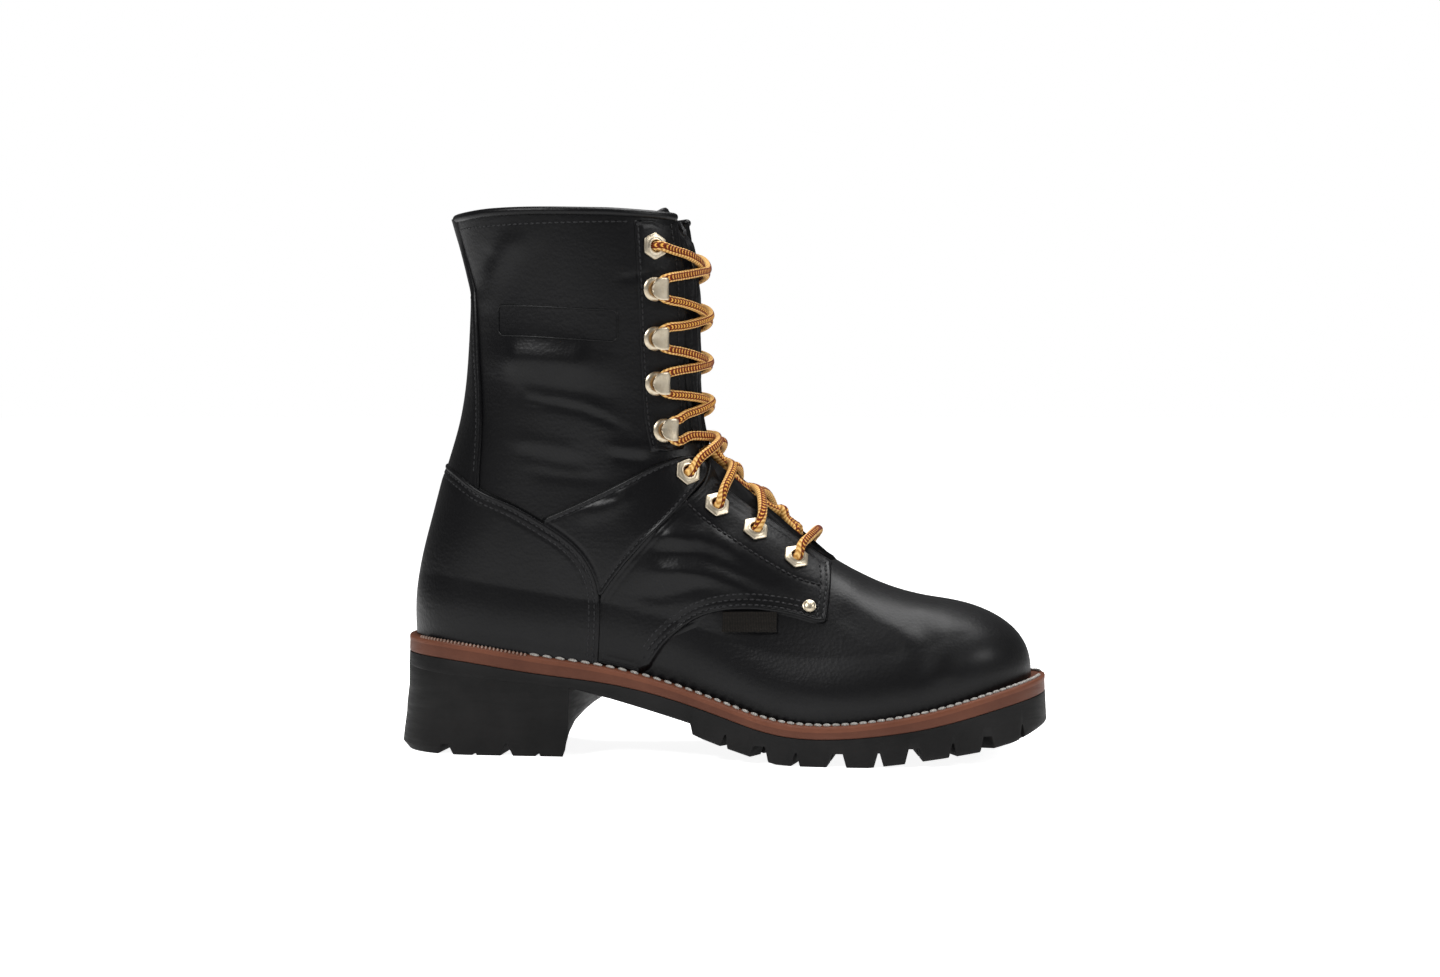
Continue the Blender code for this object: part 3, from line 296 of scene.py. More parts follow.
# Creases and bulges of the leather: side, height (a trough is negative), width, then the line's places x, z
CREASES = (
    (OUTER, -0.55, 1.5, ((61, 168.5), (70, 166.6), (83, 165), (96, 162), (106, 158), (116, 152.5))),
    (OUTER, 0.45, 2.6, ((62, 172), (72, 170), (84, 168.6), (97, 166), (108, 161.6))),
    (OUTER, -0.35, 1.3, ((62, 172.6), (69, 169.4), (76, 167.4))),
    (OUTER, 1.9, 8.0, ((54, 187), (70, 186.5), (86, 185), (102, 183))),
    (OUTER, -0.45, 7.0, ((56, 175), (76, 173.5), (100, 170), (118, 165))),
    (OUTER, 0.7, 6.0, ((46, 206), (52, 226), (60, 238), (72, 244))),
    (OUTER, -0.6, 5.0, ((40, 214), (44, 228), (52, 240))),
    (OUTER, -0.3, 1.4, ((112, 223.4), (119, 224.2), (128, 226.4))),
    (OUTER, -0.35, 3.0, ((62, 143), (74, 140.5), (86, 138), (98, 136.6))),
    (OUTER, 0.35, 3.4, ((60, 149), (76, 146.5), (92, 144))),
    (OUTER, -0.3, 2.6, ((68, 134), (82, 131.6), (98, 130), (108, 130.4))),
    (OUTER, -0.5, 2.0, ((108, 141.5), (114, 140), (122, 138.6), (127, 139.6))),
    (OUTER, 0.5, 2.4, ((106, 146), (116, 145), (126, 144.6))),
    (OUTER, -0.35, 1.6, ((99, 119.4), (105, 121), (112, 122.6))),
    (OUTER, 0.5, 4.0, ((92, 113), (106, 116), (120, 124))),
    (OUTER, 1.3, 5.0, ((128, 104.5), (141, 103), (150, 102.4), (160, 99), (170, 93))),
    (OUTER, -1.1, 4.2, (
        (122, 96.5), (134, 96.8), (151, 96), (162, 91.6), (171, 85.4), (183, 80.4), (194, 77),
    )),
    (OUTER, 0.9, 3.8, ((126, 86), (141, 88), (156, 85.4), (170, 81.6), (180, 79.4))),
    (OUTER, -0.6, 3.4, ((118, 77), (132, 76.4), (146, 79.4), (158, 80.8))),
    (OUTER, -0.5, 1.6, ((153, 104), (155.6, 99), (158, 93.6))),
    (OUTER, -0.3, 1.4, ((143, 105.6), (147, 101.8), (150, 98.4))),
    (OUTER, 0.7, 6.0, ((211, 86), (221, 74), (236, 63), (252, 54), (258, 46))),
    (OUTER, -0.6, 6.0, ((212, 73), (225, 64.4), (240, 56), (249, 49))),
    (OUTER, -0.5, 5.0, ((248, 70), (252, 60), (253, 48), (251, 36))),
    (OUTER, 0.4, 5.0, ((262, 70), (265, 58), (265, 46), (262, 36))),
    (INNER, -0.6, 1.8, ((58, 166), (72, 164), (88, 161), (104, 157), (116, 153))),
    (INNER, 0.5, 3.0, ((60, 171), (76, 169), (92, 166.5), (108, 162))),
    (INNER, 1.1, 8.0, ((58, 190), (78, 191), (100, 188))),
    (INNER, -0.8, 8.0, ((54, 179), (78, 178), (104, 174))),
    (INNER, -0.6, 3.0, ((64, 142), (80, 138), (96, 136))),
    (INNER, 0.5, 3.4, ((62, 148), (80, 145), (98, 142))),
    (INNER, 1.1, 5.0, ((128, 104), (144, 102), (160, 97), (172, 90))),
    (INNER, -1.0, 4.4, ((122, 95), (140, 95.5), (158, 91), (174, 83), (190, 77.4))),
    (INNER, 0.8, 4.0, ((126, 85), (144, 86), (162, 82))),
    (INNER, 0.6, 6.0, ((212, 84), (224, 72), (240, 60), (254, 50))),
    (INNER, -0.5, 6.0, ((212, 72), (228, 62), (244, 52))),
    (INNER, -0.4, 5.0, ((248, 68), (252, 58), (252, 46))),
)
CREASE_TAPER = 0.22
CREASE_DEPTH = 1.45

# Pressed frame on the outer shaft, left blank: x, z
STAMP_FRAME = ((54.0, 212.0), (112.0, 209.0), (111.5, 194.5), (54.0, 198.0))
STAMP_ROUND = 3.0
STAMP_THREAD = 0.42
STAMP_LIFT = 0.08


def spline(places, values):
    """A natural cubic spline through the values, drawn out straight past its ends."""
    places = np.asarray(places, float)
    values = np.asarray(values, float)
    count = len(places)
    step = np.diff(places)
    matrix = np.eye(count)
    right = np.zeros(count)
    for i in range(1, count - 1):
        matrix[i, i - 1 : i + 2] = step[i - 1], 2 * (step[i - 1] + step[i]), step[i]
        right[i] = 6 * ((values[i + 1] - values[i]) / step[i] - (values[i] - values[i - 1]) / step[i - 1])
    bend = np.linalg.solve(matrix, right)

    def at(query):
        query = np.asarray(query, float)
        held = np.clip(query, places[0], places[-1])
        i = np.clip(np.searchsorted(places, held, side="right") - 1, 0, count - 2)
        h = step[i]
        a = (places[i + 1] - held) / h
        b = (held - places[i]) / h
        inside = a * values[i] + b * values[i + 1]
        inside = inside + ((a**3 - a) * bend[i] + (b**3 - b) * bend[i + 1]) * h * h / 6
        slope = (values[i + 1] - values[i]) / h
        slope = slope + ((3 * b * b - 1) * bend[i + 1] - (3 * a * a - 1) * bend[i]) * h / 6
        return inside + slope * (query - held)

    return at


def polyline(places, values):
    """Straight lines between the values."""
    return lambda query: np.interp(query, places, values)


def columns(rows):
    """The numbers of a table, one array for each column after the names."""
    return np.array([row[1:] for row in rows], float).T


def smooth(share):
    """A soft step from 0 to 1."""
    share = np.clip(share, 0, 1)
    return share * share * (3 - 2 * share)


def hump(away, height, width):
    """Height of a soft ridge by the distance from its middle."""
    return height * np.exp(-((away / width) ** 2))


def direction(ways):
    """The same ways with a length of 1."""
    return ways / np.linalg.norm(ways, axis=-1, keepdims=True)


def run_along(path):
    """Distance of each place of a line from its start."""
    return np.concatenate([[0], np.cumsum(np.linalg.norm(np.diff(path, axis=0), axis=1))])


def places_at(path, at):
    """Places of a line at those distances from its start."""
    run = run_along(path)
    return np.stack([np.interp(at, run, values) for values in np.asarray(path, float).T], -1)


last_x, outer_half, inner_half, instep_half = columns(LAST)
outer_edge = spline(last_x, outer_half)
inner_edge = spline(last_x, inner_half)
instep_width = spline(last_x, instep_half)
welt_top = spline(*columns(WELT_TOP))
band_height = spline(*columns(BAND))
tread = polyline(*columns(TREAD))
back_z, back_x, back_depth, shaft_half = columns(BACK_LINE)
back_line = spline(back_z, back_x)
back_round = spline(back_z, back_depth)
shaft_width = spline(back_z, shaft_half)

top_x, top_z, top_depth, top_shift = columns(TOP_LINE)
top_run = run_along(np.stack([top_x, top_z], -1))
TOP_SAMPLES = 260
run_fine = np.linspace(0, top_run[-1], TOP_SAMPLES)
top_at_x = spline(top_run, top_x)
top_at_z = spline(top_run, top_z)
depth_along = spline(top_run, top_depth)
shift_along = spline(top_run, top_shift)


def top_place(run):
    """Place on the top line at a distance from its start."""
    return np.stack([top_at_x(run), top_at_z(run)], -1)


top_fine = top_place(run_fine)


def swing(x):
    """How far the sole's middle line lies to the inner side."""
    return TOE_SWING * smooth((np.asarray(x, float) - SWING_FROM) / SWING_SPAN)


# Depth below the top line and the run along it, worked out once on a grid of the side view
FIELD_STEP = 1.0
FIELD_PARTS = 24
FIELD_ROUNDS = 16
FIELD_X = np.arange(-8.0, 326.0, FIELD_STEP)
FIELD_Z = np.arange(8.0, 286.0, FIELD_STEP)


def top_fields():
    """Depth below the top line and distance along it, for places of the side view."""
    points = np.stack(np.meshgrid(FIELD_X, FIELD_Z, indexing="ij"), -1).reshape(-1, 2)
    best = np.empty(len(points), int)
    for chunk in np.array_split(np.arange(len(points)), FIELD_PARTS):
        gap = points[chunk, None] - top_fine[None]
        best[chunk] = (gap**2).sum(-1).argmin(1)
    low = run_fine[best] - run_fine[1]
    high = run_fine[best] + run_fine[1]

    def away(run):
        return ((top_place(run) - points) ** 2).sum(-1)

    for _ in range(FIELD_ROUNDS):
        first = low + (high - low) / 3
        second = high - (high - low) / 3
        nearer = away(first) < away(second)
        high = np.where(nearer, second, high)
        low = np.where(nearer, low, first)
    run = (low + high) / 2
    ahead = direction(top_place(run + 0.1) - top_place(run - 0.1))
    offset = points - top_place(run)
    depth = ahead[:, 0] * offset[:, 1] - ahead[:, 1] * offset[:, 0]
    shape = (len(FIELD_X), len(FIELD_Z))
    return depth.reshape(shape), run.reshape(shape)


depth_field, run_field = top_fields()


def cubic_weights(share):
    """Weights of the four values round a place for a smooth curve through them."""
    return (
        ((-share + 2) * share - 1) * share / 2,
        ((3 * share - 5) * share * share + 2) / 2,
        ((-3 * share + 4) * share + 1) * share / 2,
        (share - 1) * share * share / 2,
    )


def below_top(x, z):
    """Depth of a point of the side view below the top line, and the run along that line beside it."""
    u = np.clip((x - FIELD_X[0]) / FIELD_STEP, 1, len(FIELD_X) - 3.001)
    v = np.clip((z - FIELD_Z[0]) / FIELD_STEP, 1, len(FIELD_Z) - 3.001)
    i = u.astype(int)
    j = v.astype(int)
    depth = np.zeros(u.shape)
    run = np.zeros(u.shape)
    for a, across in enumerate(cubic_weights(u - i)):
        for b, up in enumerate(cubic_weights(v - j)):
            weight = across * up
            depth += weight * depth_field[i + a - 1, j + b - 1]
            run += weight * run_field[i + a - 1, j + b - 1]
    return depth, run


def form(x, z):
    """Full half width, middle, room left of it by the round ends, and the power of their curve."""
    x, z = np.broadcast_arrays(np.asarray(x, float), np.asarray(z, float))
    height = z - welt_top(x)
    margin = HEEL_MARGIN + (UPPER_MARGIN - HEEL_MARGIN) * smooth((x - MARGIN_FROM) / MARGIN_SPAN)
    outer = outer_edge(x) - margin
    inner = inner_edge(x) - margin
    foot = (outer + inner) / 2
    foot = foot + (instep_width(x) - foot) * smooth(height / INSTEP_RISE)
    swell = SWELL * np.sin(math.pi * np.clip(height / SWELL_RISE, 0, 1))
    foot = foot + swell * smooth(height / FEATHER_RISE)
    leg = smooth((z - LEG_FROM) / LEG_SPAN)
    wide = foot * (1 - leg) + shaft_width(z) * leg
    depth, run = below_top(x, z)
    over = np.clip(1 - depth / depth_along(run), 0, 2)
    toe = np.clip((x - TOE_CENTRE) / TOE_REACH, 0, 2)
    heel = np.clip(1 - (x - back_line(z)) / back_round(z), 0, 2)
    power = SIDE_POWER + BALL_POWER * smooth((x - BALL_FROM) / BALL_SPAN)
    room = 1 - toe**power - over**power - heel**HEEL_POWER
    bare = 1 - np.clip(over, 0, 1)
    middle = ((inner - outer) / 2 * bare + swing(x)) * (1 - leg) + shift_along(run) * (1 - bare)
    return wide, middle, room, power


def skin(x, z):
    """Half width of the last at a place of the side view, and how far its middle lies to the inner side."""
    wide, middle, room, power = form(x, z)
    return wide * np.clip(room, 0, 1) ** (1 / power), middle


def outward(points):
    """Unit normals of the last at points on it."""
    points = np.asarray(points, float)

    def level(p):
        wide, middle, room, power = form(p[..., 0], p[..., 2])
        return (np.abs(p[..., 1] - middle) / wide) ** power - room

    step = 0.05
    slopes = [level(points + step * axis) - level(points - step * axis) for axis in np.eye(3)]
    return direction(np.stack(slopes, -1))


def to_path(points, path):
    """Distance from points of the side view to a line of places, and the share of its length beside them."""
    path = np.asarray(path, float)
    legs = np.diff(path, axis=0)
    lengths = np.hypot(*legs.T)
    starts = run_along(path)
    best = np.full(len(points), 1e9)
    along = np.zeros(len(points))
    for start, leg, length, before in zip(path, legs, lengths, starts):
        away = points - start
        share = np.clip(away @ leg / length**2, 0, 1)
        gap = np.hypot(*(away - share[:, None] * leg).T)
        nearer = gap < best
        best[nearer] = gap[nearer]
        along[nearer] = (before + share * length)[nearer]
    return best, along / starts[-1]


def relief(x, z, side):
    """How far the leather stands proud of the last, by its creases."""
    shape = np.broadcast(x, z, side).shape
    x, z, side = (np.broadcast_to(np.asarray(v, float), shape).ravel() for v in (x, z, side))
    places = np.stack([x, z], -1)
    total = np.zeros(len(places))
    for where, height, width, path in CREASES:
        low, high = np.min(path, 0) - 3 * width, np.max(path, 0) + 3 * width
        near = (side == where) & np.all((places > low) & (places < high), axis=1)
        if not near.any():
            continue
        gap, along = to_path(places[near], path)
        fade = smooth(along / CREASE_TAPER) * smooth((1 - along) / CREASE_TAPER)
        total[near] += hump(gap, CREASE_DEPTH * height, width) * (0.25 + 0.75 * fade)
    return total.reshape(shape)


def on_skin(x, z, side, lift=0.0, creased=False):
    """Point over the last at a place of the side view. Side is -1 for the outer and 1 for the inner side."""
    x, z = np.broadcast_arrays(np.asarray(x, float), np.asarray(z, float))
    half, middle = skin(x, z)
    point = np.stack([x, middle + side * half, z], -1)
    if creased:
        lift = lift + relief(x, z, side)
    return point + outward(point) * np.asarray(lift)[..., None]


def side_rows(x, z, closed):
    """The outer and inner side of the last at places of the side view, meeting at the closed ones, and their
    half width."""
    half, middle = skin(x, z)
    half[closed] = 0
    return np.stack([x, middle - half, z], -1), np.stack([x, middle + half, z], -1), half


def toe_height(x):
    """Height of the toe's outline in the side view, where the last's half width comes to nothing."""
    low = float(welt_top(x))
    high = 80.0
    for _ in range(40):
        mid = (low + high) / 2
        if float(skin(x, mid)[0]) > 0:
            low = mid
        else:
            high = mid
    return low


def front_edge():
    """The upper's front outline in the side view: up the toe, over it and on to the collar."""
    tip = TOE_CENTRE + TOE_REACH
    points = [(tip, float(welt_top(tip)))]
    for turn in np.linspace(0, math.pi / 2, 60)[1:-1]:
        x = TOE_CENTRE + TOE_REACH * math.cos(turn) ** (2 / TOE_POWER)
        points.append((x, toe_height(x)))
    rest = top_fine[(top_fine[:, 0] < TOE_CENTRE - 1) & (top_fine[:, 1] < COLLAR_HEIGHT + 12)]
    return np.array(points + [tuple(p) for p in rest])


FRONT = front_edge()
FRONT_RUN = run_along(FRONT)
PAST_TOE = 70
front_x = spline(FRONT_RUN, FRONT[:, 0])
front_z = spline(FRONT_RUN, FRONT[:, 1])


def run_at_height(z):
    """Distance along the front edge at which the instep or shin reaches a height."""
    return float(np.interp(z, FRONT[PAST_TOE:, 1], FRONT_RUN[PAST_TOE:]))


def section_line(run, back, sag):
    """Height of one section through the upper as a function of x, and its two ends in the side view."""
    x0 = float(back_line(back))
    x1, z1 = float(front_x(run)), float(front_z(run))
    foot0, foot1 = float(welt_top(x0)), float(welt_top(x1))

    def height(x):
        share = (x - x0) / (x1 - x0)
        chord = back + (z1 - back) * share
        return chord + sag * (welt_top(x) - foot0 - (foot1 - foot0) * share)

    return height, x0, x1


FRONT_SHARE = 0.42
FRONT_STEPS = 400


def x_at_half_width(height, x0, x1, half):
    """Place along a section, near its front end, where the last is that far from its middle."""
    x = x1 - FRONT_SHARE * (x1 - x0) * (1 - np.linspace(0, 1, FRONT_STEPS) ** 0.5)
    width = skin(x, height(x))[0]
    k = int(np.argmax((width <= half) & (np.arange(FRONT_STEPS) > 0)))
    share = (width[k - 1] - half) / max(width[k - 1] - width[k], 1e-9)
    return x[k - 1] + (x[k] - x[k - 1]) * share


run_collar = run_at_height(COLLAR_HEIGHT)
section_run, section_back, section_sag = columns(SECTIONS)
section_run[-1] = run_collar
ring_back = spline(section_run, section_back)
gap_run, gap_half = columns(THROAT_GAP)


def stations(count):
    """Shares from 0 to 1, closer together near both ends."""
    return (1 - np.cos(np.linspace(0, math.pi, count + 1))) / 2


def ring_line(run):
    """The section whose front end lies at that distance along the front edge."""
    return section_line(run, float(ring_back(run)), float(np.interp(run, section_run, section_sag)))


def gap_edge_x(run):
    """Place of the throat's edge on the ring at that distance along the front edge."""
    height, x0, x1 = ring_line(run)
    x = x_at_half_width(height, x0, x1, float(np.interp(run, gap_run, gap_half)))
    return x, float(height(x))


def last_grid(runs, side_columns, gap_columns):
    """The last as rings of points with their normals. Each ring runs back, outer side, front, inner side."""
    grid = []
    for run in runs:
        height, x0, x1 = ring_line(run)
        x_gap = x_at_half_width(height, x0, x1, float(np.interp(run, gap_run, gap_half)))
        x_side = x0 + (x_gap - x0) * stations(side_columns)
        x_front = x1 - (x1 - x_gap) * (1 - np.arange(1, gap_columns + 1) / gap_columns) ** 2
        x = np.concatenate([x_side, x_front])
        outer, inner, _ = side_rows(x, height(x), [0, -1])
        grid.append(np.concatenate([outer, inner[-2:0:-1]]))
    grid = np.array(grid)
    return grid, outward(grid)


def to_world(points):
    """Table millimetres as metres in the frame of the solids."""
    moved = np.array(points, float)
    moved[..., 0] -= HALF_LENGTH
    return moved * MM


def linked(name, data):
    """Adds an object to the scene."""
    item = bpy.data.objects.new(name, data)
    bpy.context.scene.collection.objects.link(item)
    return item


def add_mesh(name, points, faces, finishes, sharp=None, numbers=None):
    """Adds one piece made of points in table millimetres. numbers gives each face's material."""
    mesh = bpy.data.meshes.new(name)
    mesh.from_pydata(to_world(points).tolist(), [], [list(map(int, f)) for f in faces])
    for finish in finishes if isinstance(finishes, (list, tuple)) else [finishes]:
        mesh.materials.append(finish)
    if numbers is not None:
        mesh.polygons.foreach_set("material_index", np.asarray(numbers, np.int32))
    work = bmesh.new()
    work.from_mesh(mesh)
    bmesh.ops.recalc_face_normals(work, faces=work.faces)
    if work.calc_volume(signed=True) < 0:
        bmesh.ops.reverse_faces(work, faces=work.faces)
    work.to_mesh(mesh)
    work.free()
    mesh.shade_smooth()
    if sharp:
        mesh.set_sharp_from_angle(angle=math.radians(sharp))
    item = linked(name, mesh)
    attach(item, "root")
    return item


def sheet_faces(cells, count):
    """Faces of a sheet and of its underside, whose points come count later, joined along free edges."""
    faces, edges = [], set()
    for cell in cells:
        faces += [cell, [k + count for k in reversed(cell)]]
        edges.update(zip(cell, cell[1:] + cell[:1]))
    return faces + [[b, a, a + count, b + count] for a, b in sorted(edges) if (b, a) not in edges]


def slab(upper, under):
    """Points and faces of a solid between two grids of rows."""
    rows, count = upper.shape[:2]
    cells = []
    for r in range(rows - 1):
        for c in range(r * count, (r + 1) * count - 1):
            cells.append([c, c + 1, c + count + 1, c + count])
    return np.concatenate([upper.reshape(-1, 3), under.reshape(-1, 3)]), sheet_faces(cells, rows * count)


def ring_faces(rings, sides, looped=False):
    """Faces between rings of equal length. A looped stack joins its last ring to its first."""
    faces = []
    for ring in range(rings if looped else rings - 1):
        here, follow = ring * sides, (ring + 1) % rings * sides
        for k in range(sides):
            n = (k + 1) % sides
            faces.append([here + k, here + n, follow + n, follow + k])
    return faces


def pruned(points, faces):
    """The points that the faces use, and the faces numbered by them."""
    used = np.unique(np.concatenate([np.array(face) for face in faces]))
    renamed = np.full(len(points), -1)
    renamed[used] = np.arange(len(used))
    return points[used], [renamed[face].tolist() for face in faces]


def spots_on(path, pitch):
    """Places spread evenly along a line of 3-D points, with the ways along it."""
    length = run_along(path)[-1]
    count = max(2, int(length / pitch))
    at = (np.arange(count) + 0.5) / count * length
    return places_at(path, at), direction(places_at(path, at + 0.4) - places_at(path, at - 0.4))


def bead(sides=8, rings=5):
    """Points and faces of a ball with its poles along the first axis."""
    points = [(-1.0, 0.0, 0.0)]
    for r in range(1, rings):
        turn = math.pi * r / rings
        for k in range(sides):
            spin = 2 * math.pi * k / sides
            around = math.sin(turn)
            points.append((-math.cos(turn), around * math.cos(spin), around * math.sin(spin)))
    points.append((1.0, 0.0, 0.0))
    faces = []
    for k in range(sides):
        n = (k + 1) % sides
        faces.append([0, 1 + n, 1 + k])
        for r in range(rings - 2):
            a, b = 1 + r * sides, 1 + (r + 1) * sides
            faces.append([a + k, a + n, b + n, b + k])
        end = 1 + (rings - 2) * sides
        faces.append([end + k, end + n, len(points) - 1])
    return np.array(points), faces


def scattered(unit, unit_faces, places, axes, sizes):
    """Copies of one shape at many places. axes holds three ways for each, and sizes one size along each."""
    count = len(unit)
    points = places[:, None] + sum(unit[None, :, k, None] * sizes[k] * axes[k][:, None] for k in range(3))
    faces = [[i + copy * count for i in face] for copy in range(len(places)) for face in unit_faces]
    return points.reshape(-1, 3), faces


def merged(parts):
    """Points and faces of several shapes as one."""
    points, faces, base = [], [], 0
    for some_points, some_faces in parts:
        points.append(np.asarray(some_points, float))
        faces += [[i + base for i in face] for face in some_faces]
        base += len(points[-1])
    return np.concatenate(points), faces


# Materials


# How much duller the leather is in front, and how fast it grows so past the middle
TOE_DULL = 0.13
DULL_PACE = 14.0


def new_material(name, colour, roughness, metallic=0.0, **inputs):
    """A material with its node tree and its shader."""
    made = bpy.data.materials.new(name)
    made.use_nodes = True
    shader = made.node_tree.nodes["Principled BSDF"]
    shader.inputs["Base Color"].default_value = (*colour, 1)
    shader.inputs["Roughness"].default_value = roughness
    shader.inputs["Metallic"].default_value = metallic
    for key, value in inputs.items():
        shader.inputs[key.replace("_", " ")].default_value = value
    made.diffuse_color = (*colour, 1)
    return made, made.node_tree, shader


def node(tree, kind, **values):
    """A node with its settings and the plain values of its sockets."""
    made = tree.nodes.new(kind)
    for key, value in values.items():
        if hasattr(made, key):
            setattr(made, key, value)
        else:
            made.inputs[key.replace("_", " ")].default_value = value
    return made


def place_of(tree, stretch=(1, 1, 1)):
    """The object's own coordinates in metres, stretched along its axes."""
    coordinates = node(tree, "ShaderNodeTexCoord")
    mapping = node(tree, "ShaderNodeMapping")
    mapping.inputs["Scale"].default_value = stretch
    tree.links.new(coordinates.outputs["Object"], mapping.inputs["Vector"])
    return mapping.outputs["Vector"]


def noise(tree, vector, scale, detail=3.0, roughness=0.5):
    """A noise texture and its output."""
    made = node(tree, "ShaderNodeTexNoise", Scale=scale, Detail=detail, Roughness=roughness)
    tree.links.new(vector, made.inputs["Vector"])
    return made.outputs["Fac"]


def ramp(tree, value, stops):
    """A colour or grey for each value. stops holds places with their colours."""
    made = node(tree, "ShaderNodeValToRGB")
    elements = made.color_ramp.elements
    while len(elements) < len(stops):
        elements.new(0.5)
    for element, (place, colour) in zip(elements, stops):
        element.position = place
        element.color = (*colour, 1) if isinstance(colour, tuple) else (colour, colour, colour, 1)
    tree.links.new(value, made.inputs["Fac"])
    return made.outputs["Color"]


def math_node(tree, operation, first, second=0.0, clamp=False):
    """A node that works out one value from two."""
    made = node(tree, "ShaderNodeMath", operation=operation, use_clamp=clamp)
    for socket, value in zip(made.inputs, (first, second)):
        if isinstance(value, (int, float)):
            socket.default_value = value
        else:
            tree.links.new(value, socket)
    return made.outputs[0]


def bump(tree, shader, layers):
    """Bumps laid over one another. Each layer is a height, a strength and a distance in metres."""
    normal = None
    for height, strength, distance in layers:
        made = node(tree, "ShaderNodeBump", Strength=strength, Distance=distance)
        tree.links.new(height, made.inputs["Height"])
        if normal is not None:
            tree.links.new(normal, made.inputs["Normal"])
        normal = made.outputs["Normal"]
    tree.links.new(normal, shader.inputs["Normal"])


def voronoi(tree, vector, scale):
    """A cell texture over a vector."""
    made = node(tree, "ShaderNodeTexVoronoi", Scale=scale)
    tree.links.new(vector, made.inputs["Vector"])
    return made.outputs["Distance"]


def leather_material(name, colour, light, roughness, coat, grain=1.0):
    """Waxed leather: pebbled grain, fine pores, soft unevenness and patchy gloss, duller towards the toe."""
    made, tree, shader = new_material(name, colour, roughness, Coat_Weight=coat, Coat_Roughness=0.32,
                                      Specular_IOR_Level=0.11)
    vector = place_of(tree)
    apart = node(tree, "ShaderNodeSeparateXYZ")
    tree.links.new(vector, apart.inputs[0])
    in_front = math_node(tree, "MULTIPLY", apart.outputs[0], DULL_PACE, True)
    dull = math_node(tree, "MULTIPLY", in_front, TOE_DULL)
    warped = node(tree, "ShaderNodeTexNoise", Scale=60.0, Detail=2.0)
    tree.links.new(vector, warped.inputs["Vector"])
    mix = node(tree, "ShaderNodeVectorMath", operation="MULTIPLY_ADD")
    tree.links.new(warped.outputs["Color"], mix.inputs[0])
    mix.inputs[1].default_value = (0.004, 0.004, 0.004)
    tree.links.new(vector, mix.inputs[2])
    bent = mix.outputs[0]
    cells = voronoi(tree, bent, 620.0)
    pores = noise(tree, vector, 2600.0, 2.0, 0.6)
    folds = noise(tree, place_of(tree, (1.0, 1.0, 2.4)), 150.0, 3.0, 0.55)
    patches = noise(tree, vector, 26.0, 4.0, 0.6)
    tree.links.new(ramp(tree, patches, ((0.3, colour), (0.72, light))), shader.inputs["Base Color"])
    gloss = ramp(tree, patches, ((0.25, roughness + 0.1), (0.75, roughness - 0.08)))
    tree.links.new(math_node(tree, "ADD", gloss, dull), shader.inputs["Roughness"])
    bump(tree, shader, (
        (folds, 0.16 * grain, 0.0012),
        (cells, 0.26 * grain, 0.0004),
        (pores, 0.12 * grain, 0.0002),
    ))
    return made


def rubber_material(name, colour, light, roughness):
    """Rubber with fine grain, soft streaks and patches."""
    made, tree, shader = new_material(name, colour, roughness, Specular_IOR_Level=0.16)
    vector = place_of(tree)
    fine = noise(tree, vector, 1800.0, 3.0, 0.6)
    streaks = noise(tree, place_of(tree, (1.0, 1.0, 9.0)), 55.0, 4.0, 0.6)
    patches = noise(tree, vector, 40.0, 4.0, 0.6)
    tree.links.new(ramp(tree, patches, ((0.3, colour), (0.7, light))), shader.inputs["Base Color"])
    tree.links.new(ramp(tree, streaks, ((0.3, roughness - 0.08), (0.7, roughness + 0.08))),
                   shader.inputs["Roughness"])
    bump(tree, shader, ((streaks, 0.12, 0.0006), (fine, 0.25, 0.0002)))
    return made


def brass_material():
    """Pale brass with light wear."""
    made, tree, shader = new_material("pale_brass", (0.56, 0.49, 0.38), 0.36, 1.0)
    vector = place_of(tree)
    wear = noise(tree, vector, 420.0, 4.0, 0.6)
    tree.links.new(ramp(tree, wear, ((0.3, (0.50, 0.42, 0.30)), (0.65, (0.62, 0.55, 0.43)))),
                   shader.inputs["Base Color"])
    tree.links.new(ramp(tree, wear, ((0.25, 0.44), (0.75, 0.32))), shader.inputs["Roughness"])
    return made


def thread_material(name, colour, light):
    """Thread with a matt face."""
    made, tree, shader = new_material(name, colour, 0.6, Specular_IOR_Level=0.25)
    vector = place_of(tree)
    twist = noise(tree, vector, 1500.0, 2.0, 0.6)
    tree.links.new(ramp(tree, twist, ((0.35, colour), (0.65, light))), shader.inputs["Base Color"])
    bump(tree, shader, ((twist, 0.5, 0.0003),))
    return made


LACE_PITCH = 1.9


